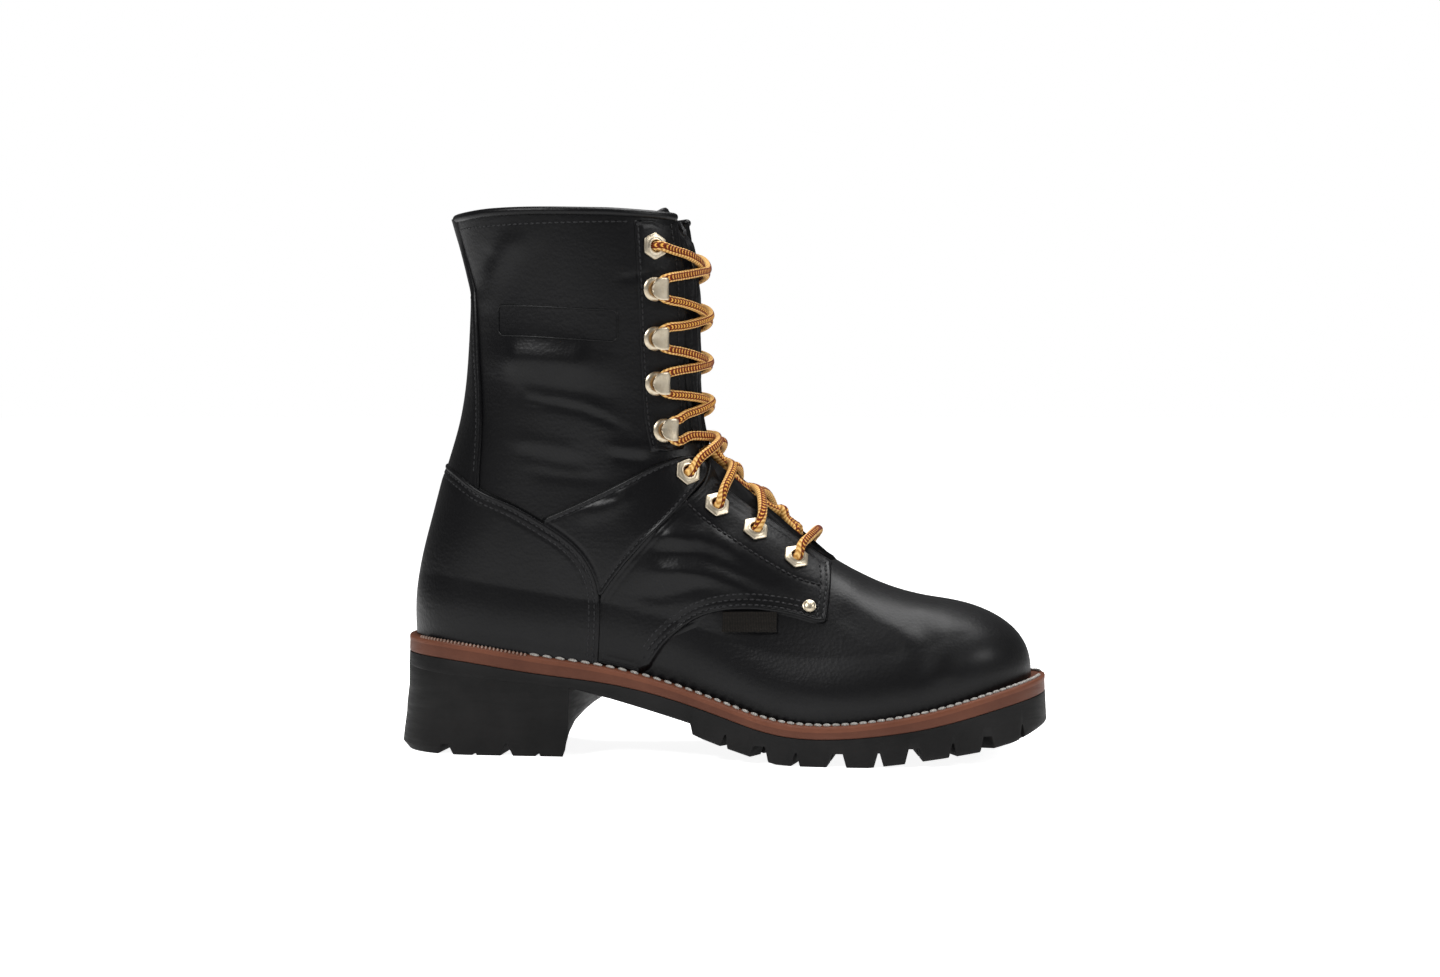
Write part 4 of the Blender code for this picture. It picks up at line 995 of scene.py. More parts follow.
def lace_material():
    """Round braid: a red-brown stripe crossed by slanting gold stitches, gold sides and pale flanks."""
    made, tree, shader = new_material("golden_cord", (0.66, 0.36, 0.08), 0.8, Sheen_Weight=0.05,
                                      Specular_IOR_Level=0.15)
    uv = node(tree, "ShaderNodeUVMap", uv_map="braid")
    parts = node(tree, "ShaderNodeSeparateXYZ")
    tree.links.new(uv.outputs["UV"], parts.inputs[0])
    around, along = parts.outputs[0], parts.outputs[1]
    halves = math_node(tree, "ADD", math_node(tree, "MULTIPLY", around, 2.0), 0.5)
    turned = math_node(tree, "ABSOLUTE", math_node(tree, "SUBTRACT", math_node(tree, "FRACT", halves), 0.5))
    slant = math_node(tree, "ADD", along, math_node(tree, "MULTIPLY", turned, 1.7))
    tick = math_node(tree, "FRACT", slant)
    rust, deep = (0.20, 0.028, 0.006), (0.075, 0.010, 0.003)
    gold, ochre = (0.93, 0.52, 0.10), (0.40, 0.17, 0.03)
    ticks = ramp(tree, tick, ((0.0, deep), (0.42, rust), (0.56, gold), (0.82, ochre), (0.95, deep)))
    sides = ramp(tree, tick, ((0.0, deep), (0.5, rust), (0.95, deep)))
    pale = ramp(tree, tick, ((0.0, ochre), (0.5, (0.92, 0.60, 0.22)), (0.95, ochre)))

    def split(low, high, near, far):
        """One colour near the stripe's middle and another beyond it."""
        mix = node(tree, "ShaderNodeMix", data_type="RGBA")
        share = ramp(tree, turned, ((low, 0.0), (high, 1.0)))
        for socket, value in ((0, share), (6, near), (7, far)):
            tree.links.new(value, mix.inputs[socket])
        return mix.outputs[2]

    colour = split(0.22, 0.25, split(0.12, 0.15, ticks, sides), pale)
    tree.links.new(colour, shader.inputs["Base Color"])
    fibres = noise(tree, place_of(tree), 2600.0, 2.0, 0.6)
    bump(tree, shader, ((tick, 0.35, 0.0004), (fibres, 0.3, 0.0002)))
    return made


def cloth_material():
    """The tab's ribbon: fine rows of dark thread."""
    made, tree, shader = new_material("tag_cloth", (0.012, 0.011, 0.010), 0.85, Sheen_Weight=0.05,
                                      Specular_IOR_Level=0.1)
    vector = place_of(tree)
    rows = node(tree, "ShaderNodeTexWave", Scale=520.0, Distortion=0.6, bands_direction="Z")
    tree.links.new(vector, rows.inputs["Vector"])
    threads = node(tree, "ShaderNodeTexWave", Scale=420.0, Distortion=0.4, bands_direction="X")
    tree.links.new(vector, threads.inputs["Vector"])
    weave = math_node(tree, "MULTIPLY", rows.outputs["Fac"], threads.outputs["Fac"])
    tree.links.new(ramp(tree, weave, ((0.2, (0.005, 0.0045, 0.004)), (0.8, (0.022, 0.018, 0.014)))),
                   shader.inputs["Base Color"])
    bump(tree, shader, ((weave, 0.5, 0.0003),))
    return made


# Upper, overlays, piping and tongue

UPPER_RINGS = 170
SIDE_COLUMNS = 112
GAP_COLUMNS = 12
EDGE_ROWS = (0.0, 0.22, 0.5, 0.9, 1.4, 2.0, 2.7, 3.4, 4.2, 5.2, 6.4, 8.0)
EYESTAY_LIFT = 0.6
COUNTER_LIFT = 2.5
STRAP_LIFT = 2.3
QUARTER_LIFT = 1.6
COLLAR_RISE = 0.7
COLLAR_SINK = 1.0
COLLAR_ROWS = 9
SEAM_SOFT = 6
UNDER_LIFT = 0.02

# Profile of an overlay's edge: its rounding, the bead inside it and its grooves, by height, place and width
EDGE_TURN = 1.1
EDGE_BEAD = (0.22, 1.3, 0.8)
ROW_GROOVE = (0.42, 0.7)
LINE_GROOVE = (0.3, 0.8)
LINE_ROWS = (-2.0, -1.2, -0.6, 0.0, 0.6, 1.2, 2.0)
SHEET_STEP = 2.2
OUTLINE_STEP = 1.2

# Ends and corners of the overlays in the side view, and the stretches over which their rows are spread
COUNTER_FRONT = 102.0
COUNTER_CORNER = (99.6, 88.6)
COUNTER_FOOT = 56
COUNTER_SPAN = 76
COUNTER_RISE = 82
BACKSTAY_LOW = 44.7
BACKSTAY_TOP = (29.8, 254.2)
BACKSTAY_SPAN = 14
STRAP_HEEL = (75.8, 76.0)
STRAP_TUCK = 1.2
QUARTER_TURN = 8
QUARTER_CORNER = ((206.6, 64.2), (208.4, 64.5))
QUARTER_UNDER = ((151.3, 140.0), (151.2, 134.0), (150.2, 128.0))
QUARTER_TUCK = (-1.0, 1.0)
QUARTER_BACK = ((101.6, 74.0), (101.6, 58.0), (100.8, 50.0))
QUARTER_FOOT = (100.6, 121.6)
QUARTER_RUN = 176.0
QUARTER_TOP = 141
EYESTAY_TOP = ((123.0, 251.0), (127.0, 251.0))
EYESTAY_LOW = ((133.0, 143.2), (140.0, 144.2))
EYESTAY_RISE = (146, 250.6)
THROAT_INSET = 0.4


def collar_dip(x):
    """How far the collar's edge comes down towards its front and back."""
    return 1.7 * smooth((x - 104) / 34) + 0.9 * smooth((52 - x) / 26)


def ring_runs(count):
    """Distances of the rings along the front edge, with one ring on the throat's foot."""
    below = round(count * THROAT_RUN / run_collar)
    return np.concatenate([
        np.linspace(0, THROAT_RUN, below, endpoint=False),
        np.linspace(THROAT_RUN, run_collar, count - below),
    ]), below


def ring_sides(rings, side_columns, gap_columns):
    """The side that each column of a ring lies on."""
    half = side_columns + gap_columns
    order = np.arange(2 * half)
    return np.where(order <= half, OUTER, INNER)[None].repeat(rings, 0)


def make_upper(leather, lining):
    """Vamp, toe and shaft as one creased wall, lined inside."""
    runs, throat = ring_runs(UPPER_RINGS)
    grid, normals = last_grid(runs, SIDE_COLUMNS, GAP_COLUMNS)
    sides = ring_sides(len(runs), SIDE_COLUMNS, GAP_COLUMNS)
    lift = relief(grid[..., 0], grid[..., 2], sides) * smooth(np.abs(grid[..., 1]) / SEAM_SOFT)
    outer = grid + normals * lift[..., None]
    inner = grid - normals * WALL
    inner[0, :, 2] = outer[0, :, 2] = grid[0, :, 2] + FIT_GAP
    inner[-1, :, 2] = outer[-1, :, 2] = grid[-1, :, 2] + COLLAR_RISE
    for row in range(1, COLLAR_ROWS + 1):
        settled = collar_dip(grid[-row, :, 0]) * (1 - smooth((row - 1) / COLLAR_ROWS))
        outer[-row, :, 2] -= settled
        inner[-row, :, 2] -= settled
    rows, count = grid.shape[:2]
    throat_columns = range(SIDE_COLUMNS, SIDE_COLUMNS + 2 * GAP_COLUMNS)
    cells = []
    for k, cell in enumerate(ring_faces(rows, count)):
        if k // count < throat or k % count not in throat_columns:
            cells.append(cell)
    faces = sheet_faces(cells, rows * count)
    numbers = [0, 1] * len(cells) + [0] * (len(faces) - 2 * len(cells))
    points, faces = pruned(np.concatenate([outer.reshape(-1, 3), inner.reshape(-1, 3)]), faces)
    item = add_mesh("upper_leather", points, faces, [leather, lining], 50, numbers)
    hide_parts("upper")


def edge_lift(gap, full, rows):
    """Lift of an overlay that far inside its rounded edge, with a soft groove under each row of stitches."""
    lift = full * np.sqrt(np.clip(1 - (1 - np.clip(gap / EDGE_TURN, 0, 1)) ** 2, 0.02, 1))
    height, place, width = EDGE_BEAD
    lift = lift + hump(gap - place, height, width)
    for row in rows:
        lift = lift - hump(gap - row, *ROW_GROOVE)
    return lift


def resampled(path, step):
    """A line of the side view through smooth curves between its places, with even spacing."""
    path = np.asarray(path, float)
    run = run_along(path)
    at = np.linspace(0, run[-1], max(2, int(run[-1] / step) + 1))
    if len(path) < 3:
        return places_at(path, at)
    return np.stack([spline(run, path[:, k])(at) for k in (0, 1)], -1)


def coons(bottom, right, top, left, across, up):
    """A grid of places inside four sides. across and up hold the shares of its columns and rows."""
    def at(path, shares):
        return places_at(path, shares * run_along(path)[-1])

    b, t = at(bottom, across), at(top, across)
    l, r = at(left, up), at(right, up)
    u, v = across[None, :, None], up[:, None, None]
    grid = (1 - v) * b[None] + v * t[None] + (1 - u) * l[:, None] + u * r[:, None]
    corners = (1 - u) * (1 - v) * b[0] + u * (1 - v) * b[-1] + (1 - u) * v * t[0] + u * v * t[-1]
    return grid - corners


def edge_shares(length, rows=EDGE_ROWS):
    """Shares of a length that lie the edge's rows away from its end."""
    return np.array([1 - distance / length for distance in rows])


def round_shares(count):
    """Shares from 0 to 1, close together at the start, as round the boot's back."""
    return 1 - np.cos(np.linspace(0, math.pi / 2, count))


def two_sided(place, edge, full, rows, name, leather):
    """A layer over the back of the boot, from its outer to its inner side, inside one free edge."""
    gap = to_path(place.reshape(-1, 2), edge)[0].reshape(place.shape[:2])
    lift = edge_lift(gap, full, rows)
    x, z = place[..., 0], place[..., 1]
    seam = smooth(np.arange(place.shape[1]) / SEAM_SOFT)[None]
    layers = []
    for side, points in zip((OUTER, INNER), side_rows(x, z, (slice(None), 0))):
        normal = outward(points)
        bumps = relief(x, z, side) * seam
        layers.append([points + normal * (height + bumps)[..., None] for height in (lift, UNDER_LIFT)])
    high, low = (np.concatenate([outer[:, ::-1], inner[:, 1:]], 1) for outer, inner in zip(*layers))
    points, faces = slab(high, low)
    item = add_mesh(name + "_leather", points, faces, leather, 60)
    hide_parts(name)


def make_counter(leather):
    """The counter round the heel. Returns its free edge, from the welt up to the back."""
    edge = resampled(COUNTER_EDGE, 1.0)
    edge = edge[edge[:, 0] > back_line(edge[:, 1]) + 0.05]
    start = np.array([[COUNTER_FRONT, float(welt_top(COUNTER_FRONT)) + FIT_GAP]])
    edge = np.concatenate([start, edge[edge[:, 1] > start[0, 1] + 0.5]])
    seam_z = float(edge[-1, 1] + 0.2)
    edge = np.concatenate([edge, [[float(back_line(seam_z)), seam_z]]])
    corner = int(np.argmin(np.hypot(*(edge - COUNTER_CORNER).T)))
    right = edge[: corner + 1]
    top = edge[corner:][::-1]
    x = np.linspace(float(back_line(COUNTER_FOOT)), COUNTER_FRONT, 60)
    bottom = np.stack([x, welt_top(x) + FIT_GAP], -1)
    z = np.linspace(bottom[0, 1], seam_z, 60)
    left = np.stack([back_line(z), z], -1)
    across, fine = round_shares(56), edge_shares(COUNTER_SPAN)
    across = np.unique(np.concatenate([across[across < fine[-1]], fine]))
    fine = edge_shares(COUNTER_RISE)
    up = np.concatenate([np.linspace(0, fine[-1], 44, endpoint=False), fine[::-1]])
    place = coons(bottom, right, top, left, across, up)
    two_sided(place, edge, COUNTER_LIFT, (3.0, 5.6), "counter", leather)
    return edge


def make_backstay(leather, counter_edge):
    """The strip up the back, its foot tucked under the counter."""
    right = resampled(BACKSTAY_EDGE, 1.0)
    low = counter_edge[counter_edge[:, 0] < BACKSTAY_LOW][::-1]
    low = np.concatenate([low, [(right[0, 0], low[-1, 1] - 0.3)]]) - (0, 1.4)
    right = np.concatenate([low[-1:], right[right[:, 1] > low[-1, 1] + 0.6], [BACKSTAY_TOP]])
    z = np.linspace(low[0, 1], BACKSTAY_TOP[1], 80)
    left = np.stack([back_line(z), z], -1)
    top = np.array([left[-1], right[-1]])
    across, fine = round_shares(22), edge_shares(BACKSTAY_SPAN, EDGE_ROWS[:9])
    across = np.unique(np.concatenate([across[across < fine[-1] - 0.02], fine]))
    place = coons(low, right, top, left, across, np.linspace(0, 1, 84))
    two_sided(place, right, OVERLAY + FIT_GAP, (2.4,), "backstay", leather)


def inside(points, outline):
    """Which places of the side view lie inside a closed outline."""
    x, z = points[:, 0], points[:, 1]
    result = np.zeros(len(points), bool)
    for (x0, z0), (x1, z1) in zip(outline, np.roll(outline, -1, 0)):
        crosses = (z0 > z) != (z1 > z)
        with np.errstate(divide="ignore", invalid="ignore"):
            result ^= crosses & (x < (x1 - x0) * (z - z0) / (z1 - z0) + x0)
    return result


def offset_line(path, distance):
    """A line moved to its left by that distance."""
    path = np.asarray(path, float)
    ahead = direction(np.gradient(path, axis=0))
    return path + np.stack([-ahead[:, 1], ahead[:, 0]], -1) * distance


def sheet_places(outline, lines):
    """Triangles that fill a closed outline, with finer rows along its edge and along lines inside it."""
    outline = np.asarray(outline, float)
    area = np.sum(outline[:, 0] * np.roll(outline[:, 1], -1) - np.roll(outline[:, 0], -1) * outline[:, 1])
    turn = 1 if area > 0 else -1
    closed = np.concatenate([outline, outline[:1]])
    ahead = direction(np.roll(outline, -1, 0) - np.roll(outline, 1, 0))
    inwards = np.stack([-ahead[:, 1], ahead[:, 0]], -1) * turn
    chosen = [outline]
    for distance in EDGE_ROWS[1:]:
        row = outline + inwards * distance
        gap = to_path(row, closed)[0]
        chosen.append(row[(gap > distance * 0.93) & inside(row, outline)])
    for line in lines:
        for distance in LINE_ROWS:
            row = offset_line(line, distance)
            gap = to_path(row, closed)[0]
            chosen.append(row[(gap > EDGE_ROWS[-1] * 0.9) & inside(row, outline)])
    low, high = outline.min(0), outline.max(0)
    rows = []
    for k, z in enumerate(np.arange(low[1], high[1], SHEET_STEP * 0.87)):
        x = np.arange(low[0] + (k % 2) * SHEET_STEP / 2, high[0], SHEET_STEP)
        rows.append(np.stack([x, np.full(len(x), z)], -1))
    field = np.concatenate(rows)
    field = field[inside(field, outline)]
    field = field[to_path(field, closed)[0] > EDGE_ROWS[-1] + SHEET_STEP * 0.5]
    for line in lines:
        field = field[to_path(field, line)[0] > LINE_ROWS[-1] + SHEET_STEP * 0.4]
    chosen.append(field)
    places = np.concatenate(chosen)
    count = len(outline)
    edges = [(i, (i + 1) % count) for i in range(count)]
    found = delaunay_2d_cdt([Vector(p) for p in places], edges, [], 1, 1e-4, True)
    spots = np.array([tuple(v) for v in found[0]])
    return spots, [list(f) for f in found[2]], closed


def one_sided(name, outline, side, full, rows, leather, lines=(), replaced=True):
    """A layer on one side of the boot, cut to an outline and rounded along its edge."""
    spots, triangles, closed = sheet_places(outline, lines)
    lift = edge_lift(to_path(spots, closed)[0], full, rows)
    for line in lines:
        lift = lift - hump(to_path(spots, line)[0], *LINE_GROOVE)
    x, z = spots.T
    points = np.concatenate([on_skin(x, z, side, height, True) for height in (lift, UNDER_LIFT)])
    faces = sheet_faces(triangles, len(spots))
    item = add_mesh(name + "_leather", points, faces, leather, 60)
    if replaced:
        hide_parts(name)


def throat_line(low_run, high_run, inset=0.0):
    """The throat's edge in the side view between two distances along the front edge, from the lower up."""
    runs = np.linspace(low_run, high_run, max(8, int((high_run - low_run) / 2.0)))
    line = np.array([gap_edge_x(run) for run in runs])
    return offset_line(line, inset) if inset else line


def make_straps(leather):
    """The slanting straps, tucked under the counter's edge."""
    top = resampled(STRAP_TOP_EDGE + STRAP_END + STRAP_LOW_EDGE[:1], OUTLINE_STEP)
    low = resampled(STRAP_END[-1:] + STRAP_LOW_EDGE, OUTLINE_STEP)
    split = int(np.argmin(np.hypot(*(top - STRAP_END[-1]).T)))
    counter = resampled(COUNTER_EDGE, OUTLINE_STEP)
    beside = counter[np.all(counter > STRAP_HEEL, axis=1)] - STRAP_TUCK
    outline = np.concatenate([top[:split], low, beside])
    for side, label in SIDES:
        one_sided("strap_" + label, outline, side, STRAP_LIFT, (2.4,), leather)


# Edge of the thin facing on the shaft, and the line sewn across the quarter in its direction: x, z
EYESTAY_SHAFT = (
    (119.4, 250.6), (120.4, 232), (121.2, 214), (121.6, 195), (122.4, 177), (123.6, 158), (126.6, 143),
)
EYESTAY_QUARTER = (
    (131.6, 136), (137, 127), (143.4, 118.6), (157, 107), (172, 97), (186, 88.4), (196, 83.4), (206, 80.4),
)


def make_quarters(leather):
    """The facings with the lower eyelets, over the vamp and tucked under strap and counter."""
    edge = resampled(QUARTER_EDGE[:QUARTER_TURN], OUTLINE_STEP)
    front = resampled(QUARTER_EDGE[QUARTER_TURN:], OUTLINE_STEP)
    throat = throat_line(THROAT_RUN - 1.0, QUARTER_RUN, THROAT_INSET)
    front = front[front[:, 1] < throat[0, 1] - 1.0]
    throat = throat[throat[:, 1] < QUARTER_TOP]
    under = resampled(QUARTER_UNDER + STRAP_LOW_EDGE, OUTLINE_STEP) + QUARTER_TUCK
    x = np.linspace(*QUARTER_FOOT, 18)
    foot = np.stack([x, welt_top(x) + FIT_GAP], -1)
    start = resampled(np.concatenate([QUARTER_BACK, foot[:1]]), OUTLINE_STEP)
    edge = edge[edge[:, 1] > foot[-1, 1] + 0.6]
    outline = np.concatenate([edge, QUARTER_CORNER, front, throat, under, start, foot[1:]])
    line = resampled(EYESTAY_QUARTER, 1.4)
    for side, label in SIDES:
        one_sided("quarter_" + label, outline, side, QUARTER_LIFT, (2.2, 4.6), leather, lines=(line,))


def make_eyestays(leather):
    """The thin facing beside the throat, from the ankle to the collar."""
    line = resampled(EYESTAY_SHAFT, 1.4)[::-1]
    throat = throat_line(run_at_height(149.0), run_collar - 1.0, THROAT_INSET)
    throat = throat[(throat[:, 1] > EYESTAY_RISE[0]) & (throat[:, 1] < EYESTAY_RISE[1])]
    outline = np.concatenate([line, EYESTAY_TOP, throat[::-1], EYESTAY_LOW[::-1]])
    for side, label in SIDES:
        one_sided("eyestay_" + label, outline, side, EYESTAY_LIFT, (1.6,), leather, replaced=False)


def make_piping(leather):
    """The rolled edge along the collar."""
    height, x0, _ = ring_line(run_collar)
    x_gap = gap_edge_x(run_collar)[0]
    x = x0 + (x_gap - x0) * stations(120)
    outer, inner, _ = side_rows(x, height(x), 0)
    path = np.concatenate([outer[::-1], inner[1:]])
    path = path - outward(path) * (WALL / 2 - 0.5)
    path[:, 2] = COLLAR_HEIGHT + FIT_GAP + PIPING_RADIUS - COLLAR_SINK - collar_dip(path[:, 0])
    wave = np.arange(len(path))
    path[:, 2] += 0.25 * np.sin(wave / 9.0) * smooth(np.minimum(wave, wave[::-1]) / 20)
    at = np.linspace(0, run_along(path)[-1], 240)
    points, faces = tube(places_at(path, at), PIPING_RADIUS * round_ends(at, 0.03), 16)
    item = add_mesh("collar_piping_leather", points, faces, leather)
    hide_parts("collar_piping")


def round_ends(at, least):
    """Share of the full radius at distances along a bar with round ends."""
    return np.sqrt(np.clip(1 - (1 - np.minimum(at, at[::-1]) / 2.0).clip(0) ** 2, least, 1))


def ways_across(along):
    """One way across a path at each place, turned as little as can be from one place to the next."""
    across = np.cross(along[0], [0.31, 0.17, 0.93])
    ways = []
    for heading in along:
        across = direction(across - heading * across.dot(heading))
        ways.append(across)
    return np.array(ways)


def tube(path, radius, sides):
    """Points and faces of a round bar along a path, with a radius for each place."""
    along = direction(np.gradient(path, axis=0))
    across = ways_across(along)
    third = np.cross(along, across)
    turn = 2 * math.pi * np.arange(sides)[:, None] / sides
    spokes = np.cos(turn) * across[:, None] + np.sin(turn) * third[:, None]
    points = path[:, None] + radius[:, None, None] * spokes
    ends = [list(range(sides))[::-1], [(len(path) - 1) * sides + k for k in range(sides)]]
    return points.reshape(-1, 3), ring_faces(len(path), sides) + ends


TONGUE_THICK = 2.6
TONGUE_DROP = 1.7
TONGUE_DIP = 7.5
TONGUE_TUCK = 3.8
TONGUE_REACH = 9.5
TONGUE_RINGS = 150
TONGUE_UNDER_COLUMNS = 10
TONGUE_GAP_COLUMNS = 18
TONGUE_TOP_ROWS = 4

# Small fold at the tongue's top: its height at the outer and inner side, its place and its width
TOP_FOLD = (4.2, 0.6, 22.0, 6.5)


def make_tongue(leather, lace_path):
    """The tongue: under the edges of the throat, padded and folded between them, pressed in by the lace."""
    runs = np.linspace(THROAT_RUN - 7.0, run_collar, TONGUE_RINGS)
    rows, swells, offsets = [], [], []
    for run in runs:
        height, x0, x1 = ring_line(run)
        gap = float(np.interp(run, gap_run, gap_half))
        x_gap = x_at_half_width(height, x0, x1, gap)
        reach = TONGUE_REACH * (0.6 + 0.4 * smooth((run - 110) / 60))
        x = np.concatenate([
            x_gap - reach * (1 - np.arange(TONGUE_UNDER_COLUMNS) / TONGUE_UNDER_COLUMNS),
            x1 - (x1 - x_gap) * (1 - np.arange(TONGUE_GAP_COLUMNS + 1) / TONGUE_GAP_COLUMNS) ** 2,
        ])
        outer, inner, half = side_rows(x, height(x), -1)
        rows.append(np.concatenate([outer, inner[-2::-1]]))
        share = np.clip((1 - half / gap) * 2.2, 0, 1)
        swell = smooth(share) * smooth((run - THROAT_RUN) / 8)
        swells.append(np.concatenate([swell, swell[-2::-1]]))
        offsets.append(np.concatenate([-half, half[-2::-1]]))
    grid = np.array(rows)
    normals = outward(grid)
    swell, offset = np.array(swells), np.array(offsets)
    run = runs[:, None]
    under = WALL + 2 * FIT_GAP
    drop = under - (under - TONGUE_DROP) * swell
    shin = smooth((run - 175) / 30)
    folds = 0.55 * np.sin(offset * 0.62 + 1.3 * np.sin(run * 0.045) + 0.6)
    folds = folds + 0.35 * np.sin(offset * 1.15 + 0.9 * np.sin(run * 0.08) + 2.0)
    cross = 0.45 * np.sin(run * 0.42 + 0.5 * np.sin(offset * 0.3)) * smooth((200 - run) / 40)
    cross = cross + 0.3 * np.sin(run * 0.19 + offset * 0.12)
    calm = 1 - 0.8 * smooth((run - (run_collar - 14)) / 14)
    drop = drop - swell * (folds * shin * calm + cross + 0.5)
    outer = grid - normals * drop[..., None]
    for _ in range(2):
        flat = outer.reshape(-1, 3)
        need = np.clip(LACE_RADIUS + 0.15 - nearest_gap(flat, lace_path), 0, 2.6)
        flat = flat - normals.reshape(-1, 3) * need[:, None] * 1.05
        outer = flat.reshape(outer.shape)
    inner = grid - normals * np.maximum(drop + TONGUE_THICK, under + 1.2)[..., None]
    depth = ((outer - inner) * normals).sum(-1, keepdims=True)
    inner = inner - normals * np.clip(1.8 - depth, 0, 9)
    near_top = smooth((run - (run_collar - 26)) / 26)
    sink = TONGUE_DIP * near_top * smooth(1.15 - np.abs(offset) / 20)
    tuck = TONGUE_TUCK * smooth((run - (run_collar - 7)) / 7) * smooth(1.15 - np.abs(offset) / 20)
    outer[..., 2] -= sink
    inner[..., 2] -= sink
    outer = outer - normals * tuck[..., None]
    fold_outer, fold_inner, fold_place, fold_width = TOP_FOLD
    lump = np.where(offset[-1] < 0, fold_outer, fold_inner)
    lump = hump(np.abs(offset[-1]) - fold_place, lump, fold_width)
    top_outer, top_inner = [], []
    for step in range(1, TONGUE_TOP_ROWS + 1):
        share = step / TONGUE_TOP_ROWS
        lift = np.stack([np.zeros_like(lump), np.zeros_like(lump), (lump + 0.6) * share], -1)
        squeeze = normals[-1] * (TONGUE_THICK * 0.4 * (1 - math.sqrt(1 - share**2)))
        top_outer.append(outer[-1] + lift - squeeze)
        top_inner.append(inner[-1] + lift + squeeze)
    points, faces = slab(np.concatenate([outer, top_outer]), np.concatenate([inner, top_inner]))
    item = add_mesh("tongue_leather", points, faces, leather, 70)
    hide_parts("tongue")


def nearest_gap(points, path):
    """Distance of each point from the nearest place of a path."""
    low, high = points.min(0) - 8, points.max(0) + 8
    near = path[np.all((path > low) & (path < high), axis=1)]
    chunks = np.array_split(points, 30)
    return np.concatenate([np.linalg.norm(chunk[:, None] - near[None], axis=-1).min(1) for chunk in chunks])


# Stitches


def stitch_frames(path, side, lift, pitch):
    """Places of the stitches of one row, and the ways along, across and out of each."""
    points = on_skin(path[:, 0], path[:, 1], side, lift, True)
    place, along = spots_on(points, pitch)
    flat = place.copy()
    half, middle = skin(flat[:, 0], flat[:, 2])
    flat[:, 1] = middle + side * half
    out = outward(flat)
    return place, (along, direction(np.cross(out, along)), out)


def stitched(rows, pitch=2.9, length=1.2, radius=0.47):
    """Joined stitches for many rows. Each row is a line in the side view, its side and its lift."""
    unit, unit_faces = bead(6, 4)
    parts = []
    for path, side, lift in rows:
        place, axes = stitch_frames(path, side, lift, pitch)
        parts.append(scattered(unit, unit_faces, place, axes, (length, radius, radius * 0.8)))
    return merged(parts)


def make_stitches(thread, counter_edge):
    """The rows of black stitches on both sides."""
    over = OVERLAY - 0.02
    counter = counter_edge[(counter_edge[:, 0] > back_line(counter_edge[:, 1]) + 1.5)]
    backstay = offset_line(resampled(BACKSTAY_EDGE, OUTLINE_STEP), 2.4)
    backstay = backstay[backstay[:, 0] > back_line(backstay[:, 1]) + 1.2]
    strap_top = resampled(STRAP_TOP_EDGE, OUTLINE_STEP)[4:]
    strap_low = resampled(STRAP_END[-1:] + STRAP_LOW_EDGE, OUTLINE_STEP)
    quarter_low = resampled(QUARTER_EDGE[:QUARTER_TURN], OUTLINE_STEP)[4:]
    front = resampled(QUARTER_EDGE[QUARTER_TURN:], OUTLINE_STEP)
    front = front[front[:, 1] < 93]
    collar_x = np.linspace(32, 117, 60)
    collar = np.stack([collar_x, 248.4 + 0.02 * (collar_x - 30)], -1)
    seams = (
        # line, distances to its left, lift
        (counter, (3.0, 5.6), COUNTER_LIFT - 0.3),
        (backstay, (0,), over),
        (strap_top, (-2.4,), STRAP_LIFT - 0.3),
        (strap_low, (-2.4,), STRAP_LIFT - 0.3),
        (quarter_low, (2.2, 4.6, 7.0), over),
        (front, (2.2, 4.6), over),
        (resampled(EYESTAY_SHAFT, 1.4), (1.6,), EYESTAY_LIFT - 0.1),
        (resampled(EYESTAY_QUARTER, 1.4), (0,), over + 0.2),
        (collar, (0,), 0.1),
        (throat_line(run_at_height(150.0), run_collar - 3.0, 3.2), (0,), EYESTAY_LIFT + 0.05),
    )
    rows = []
    for side in (OUTER, INNER):
        for line, distances, lift in seams:
            rows += [(offset_line(line, distance), side, lift) for distance in distances]
    points, faces = stitched(rows)
    add_mesh("leather_stitches", points, faces, thread)


def make_stamp_frame(leather):
    """The fine raised line of the pressed frame on the outer shaft."""
    corners = np.array(STAMP_FRAME)
    line = []
    for before, corner, after in zip(np.roll(corners, 1, 0), corners, np.roll(corners, -1, 0)):
        back, ahead = direction(before - corner), direction(after - corner)
        for share in np.linspace(0, 1, 8):
            line.append(corner + STAMP_ROUND * (back * (1 - share) ** 2 + ahead * share**2))
    line = np.array(line + line[:1])
    line = places_at(line, np.linspace(0, run_along(line)[-1], 260))
    path = on_skin(line[:, 0], line[:, 1], OUTER, STAMP_LIFT, True)
    points, faces = tube(path, np.full(len(path), STAMP_THREAD), 8)
    add_mesh("stamp_frame", points, faces, leather)


# Sole


def outline_loop(side, back, toe, height, shares, start=0.0):
    """A closed loop inside the sole's edge: along the outer side to the toe and back along the inner."""
    x0 = max(back, start)
    x = x0 + (LENGTH - toe - x0) * np.asarray(shares)
    front = np.clip((x - TOE_CENTRE) / (LENGTH - toe - TOE_CENTRE), 0, 1)
    rear = np.clip((HEEL_CENTRE - x) / (HEEL_CENTRE - back), 0, 1)
    room = (1 - front**TOE_POWER) ** (1 / TOE_POWER) * (1 - rear**HEEL_POWER) ** (1 / HEEL_POWER)
    z = height(x)
    outer = np.stack([x, swing(x) - (outer_edge(x) - side) * room, z], -1)
    inner = np.stack([x, swing(x) + (inner_edge(x) - side) * room, z], -1)
    return np.concatenate([outer, inner[-2:0:-1]])


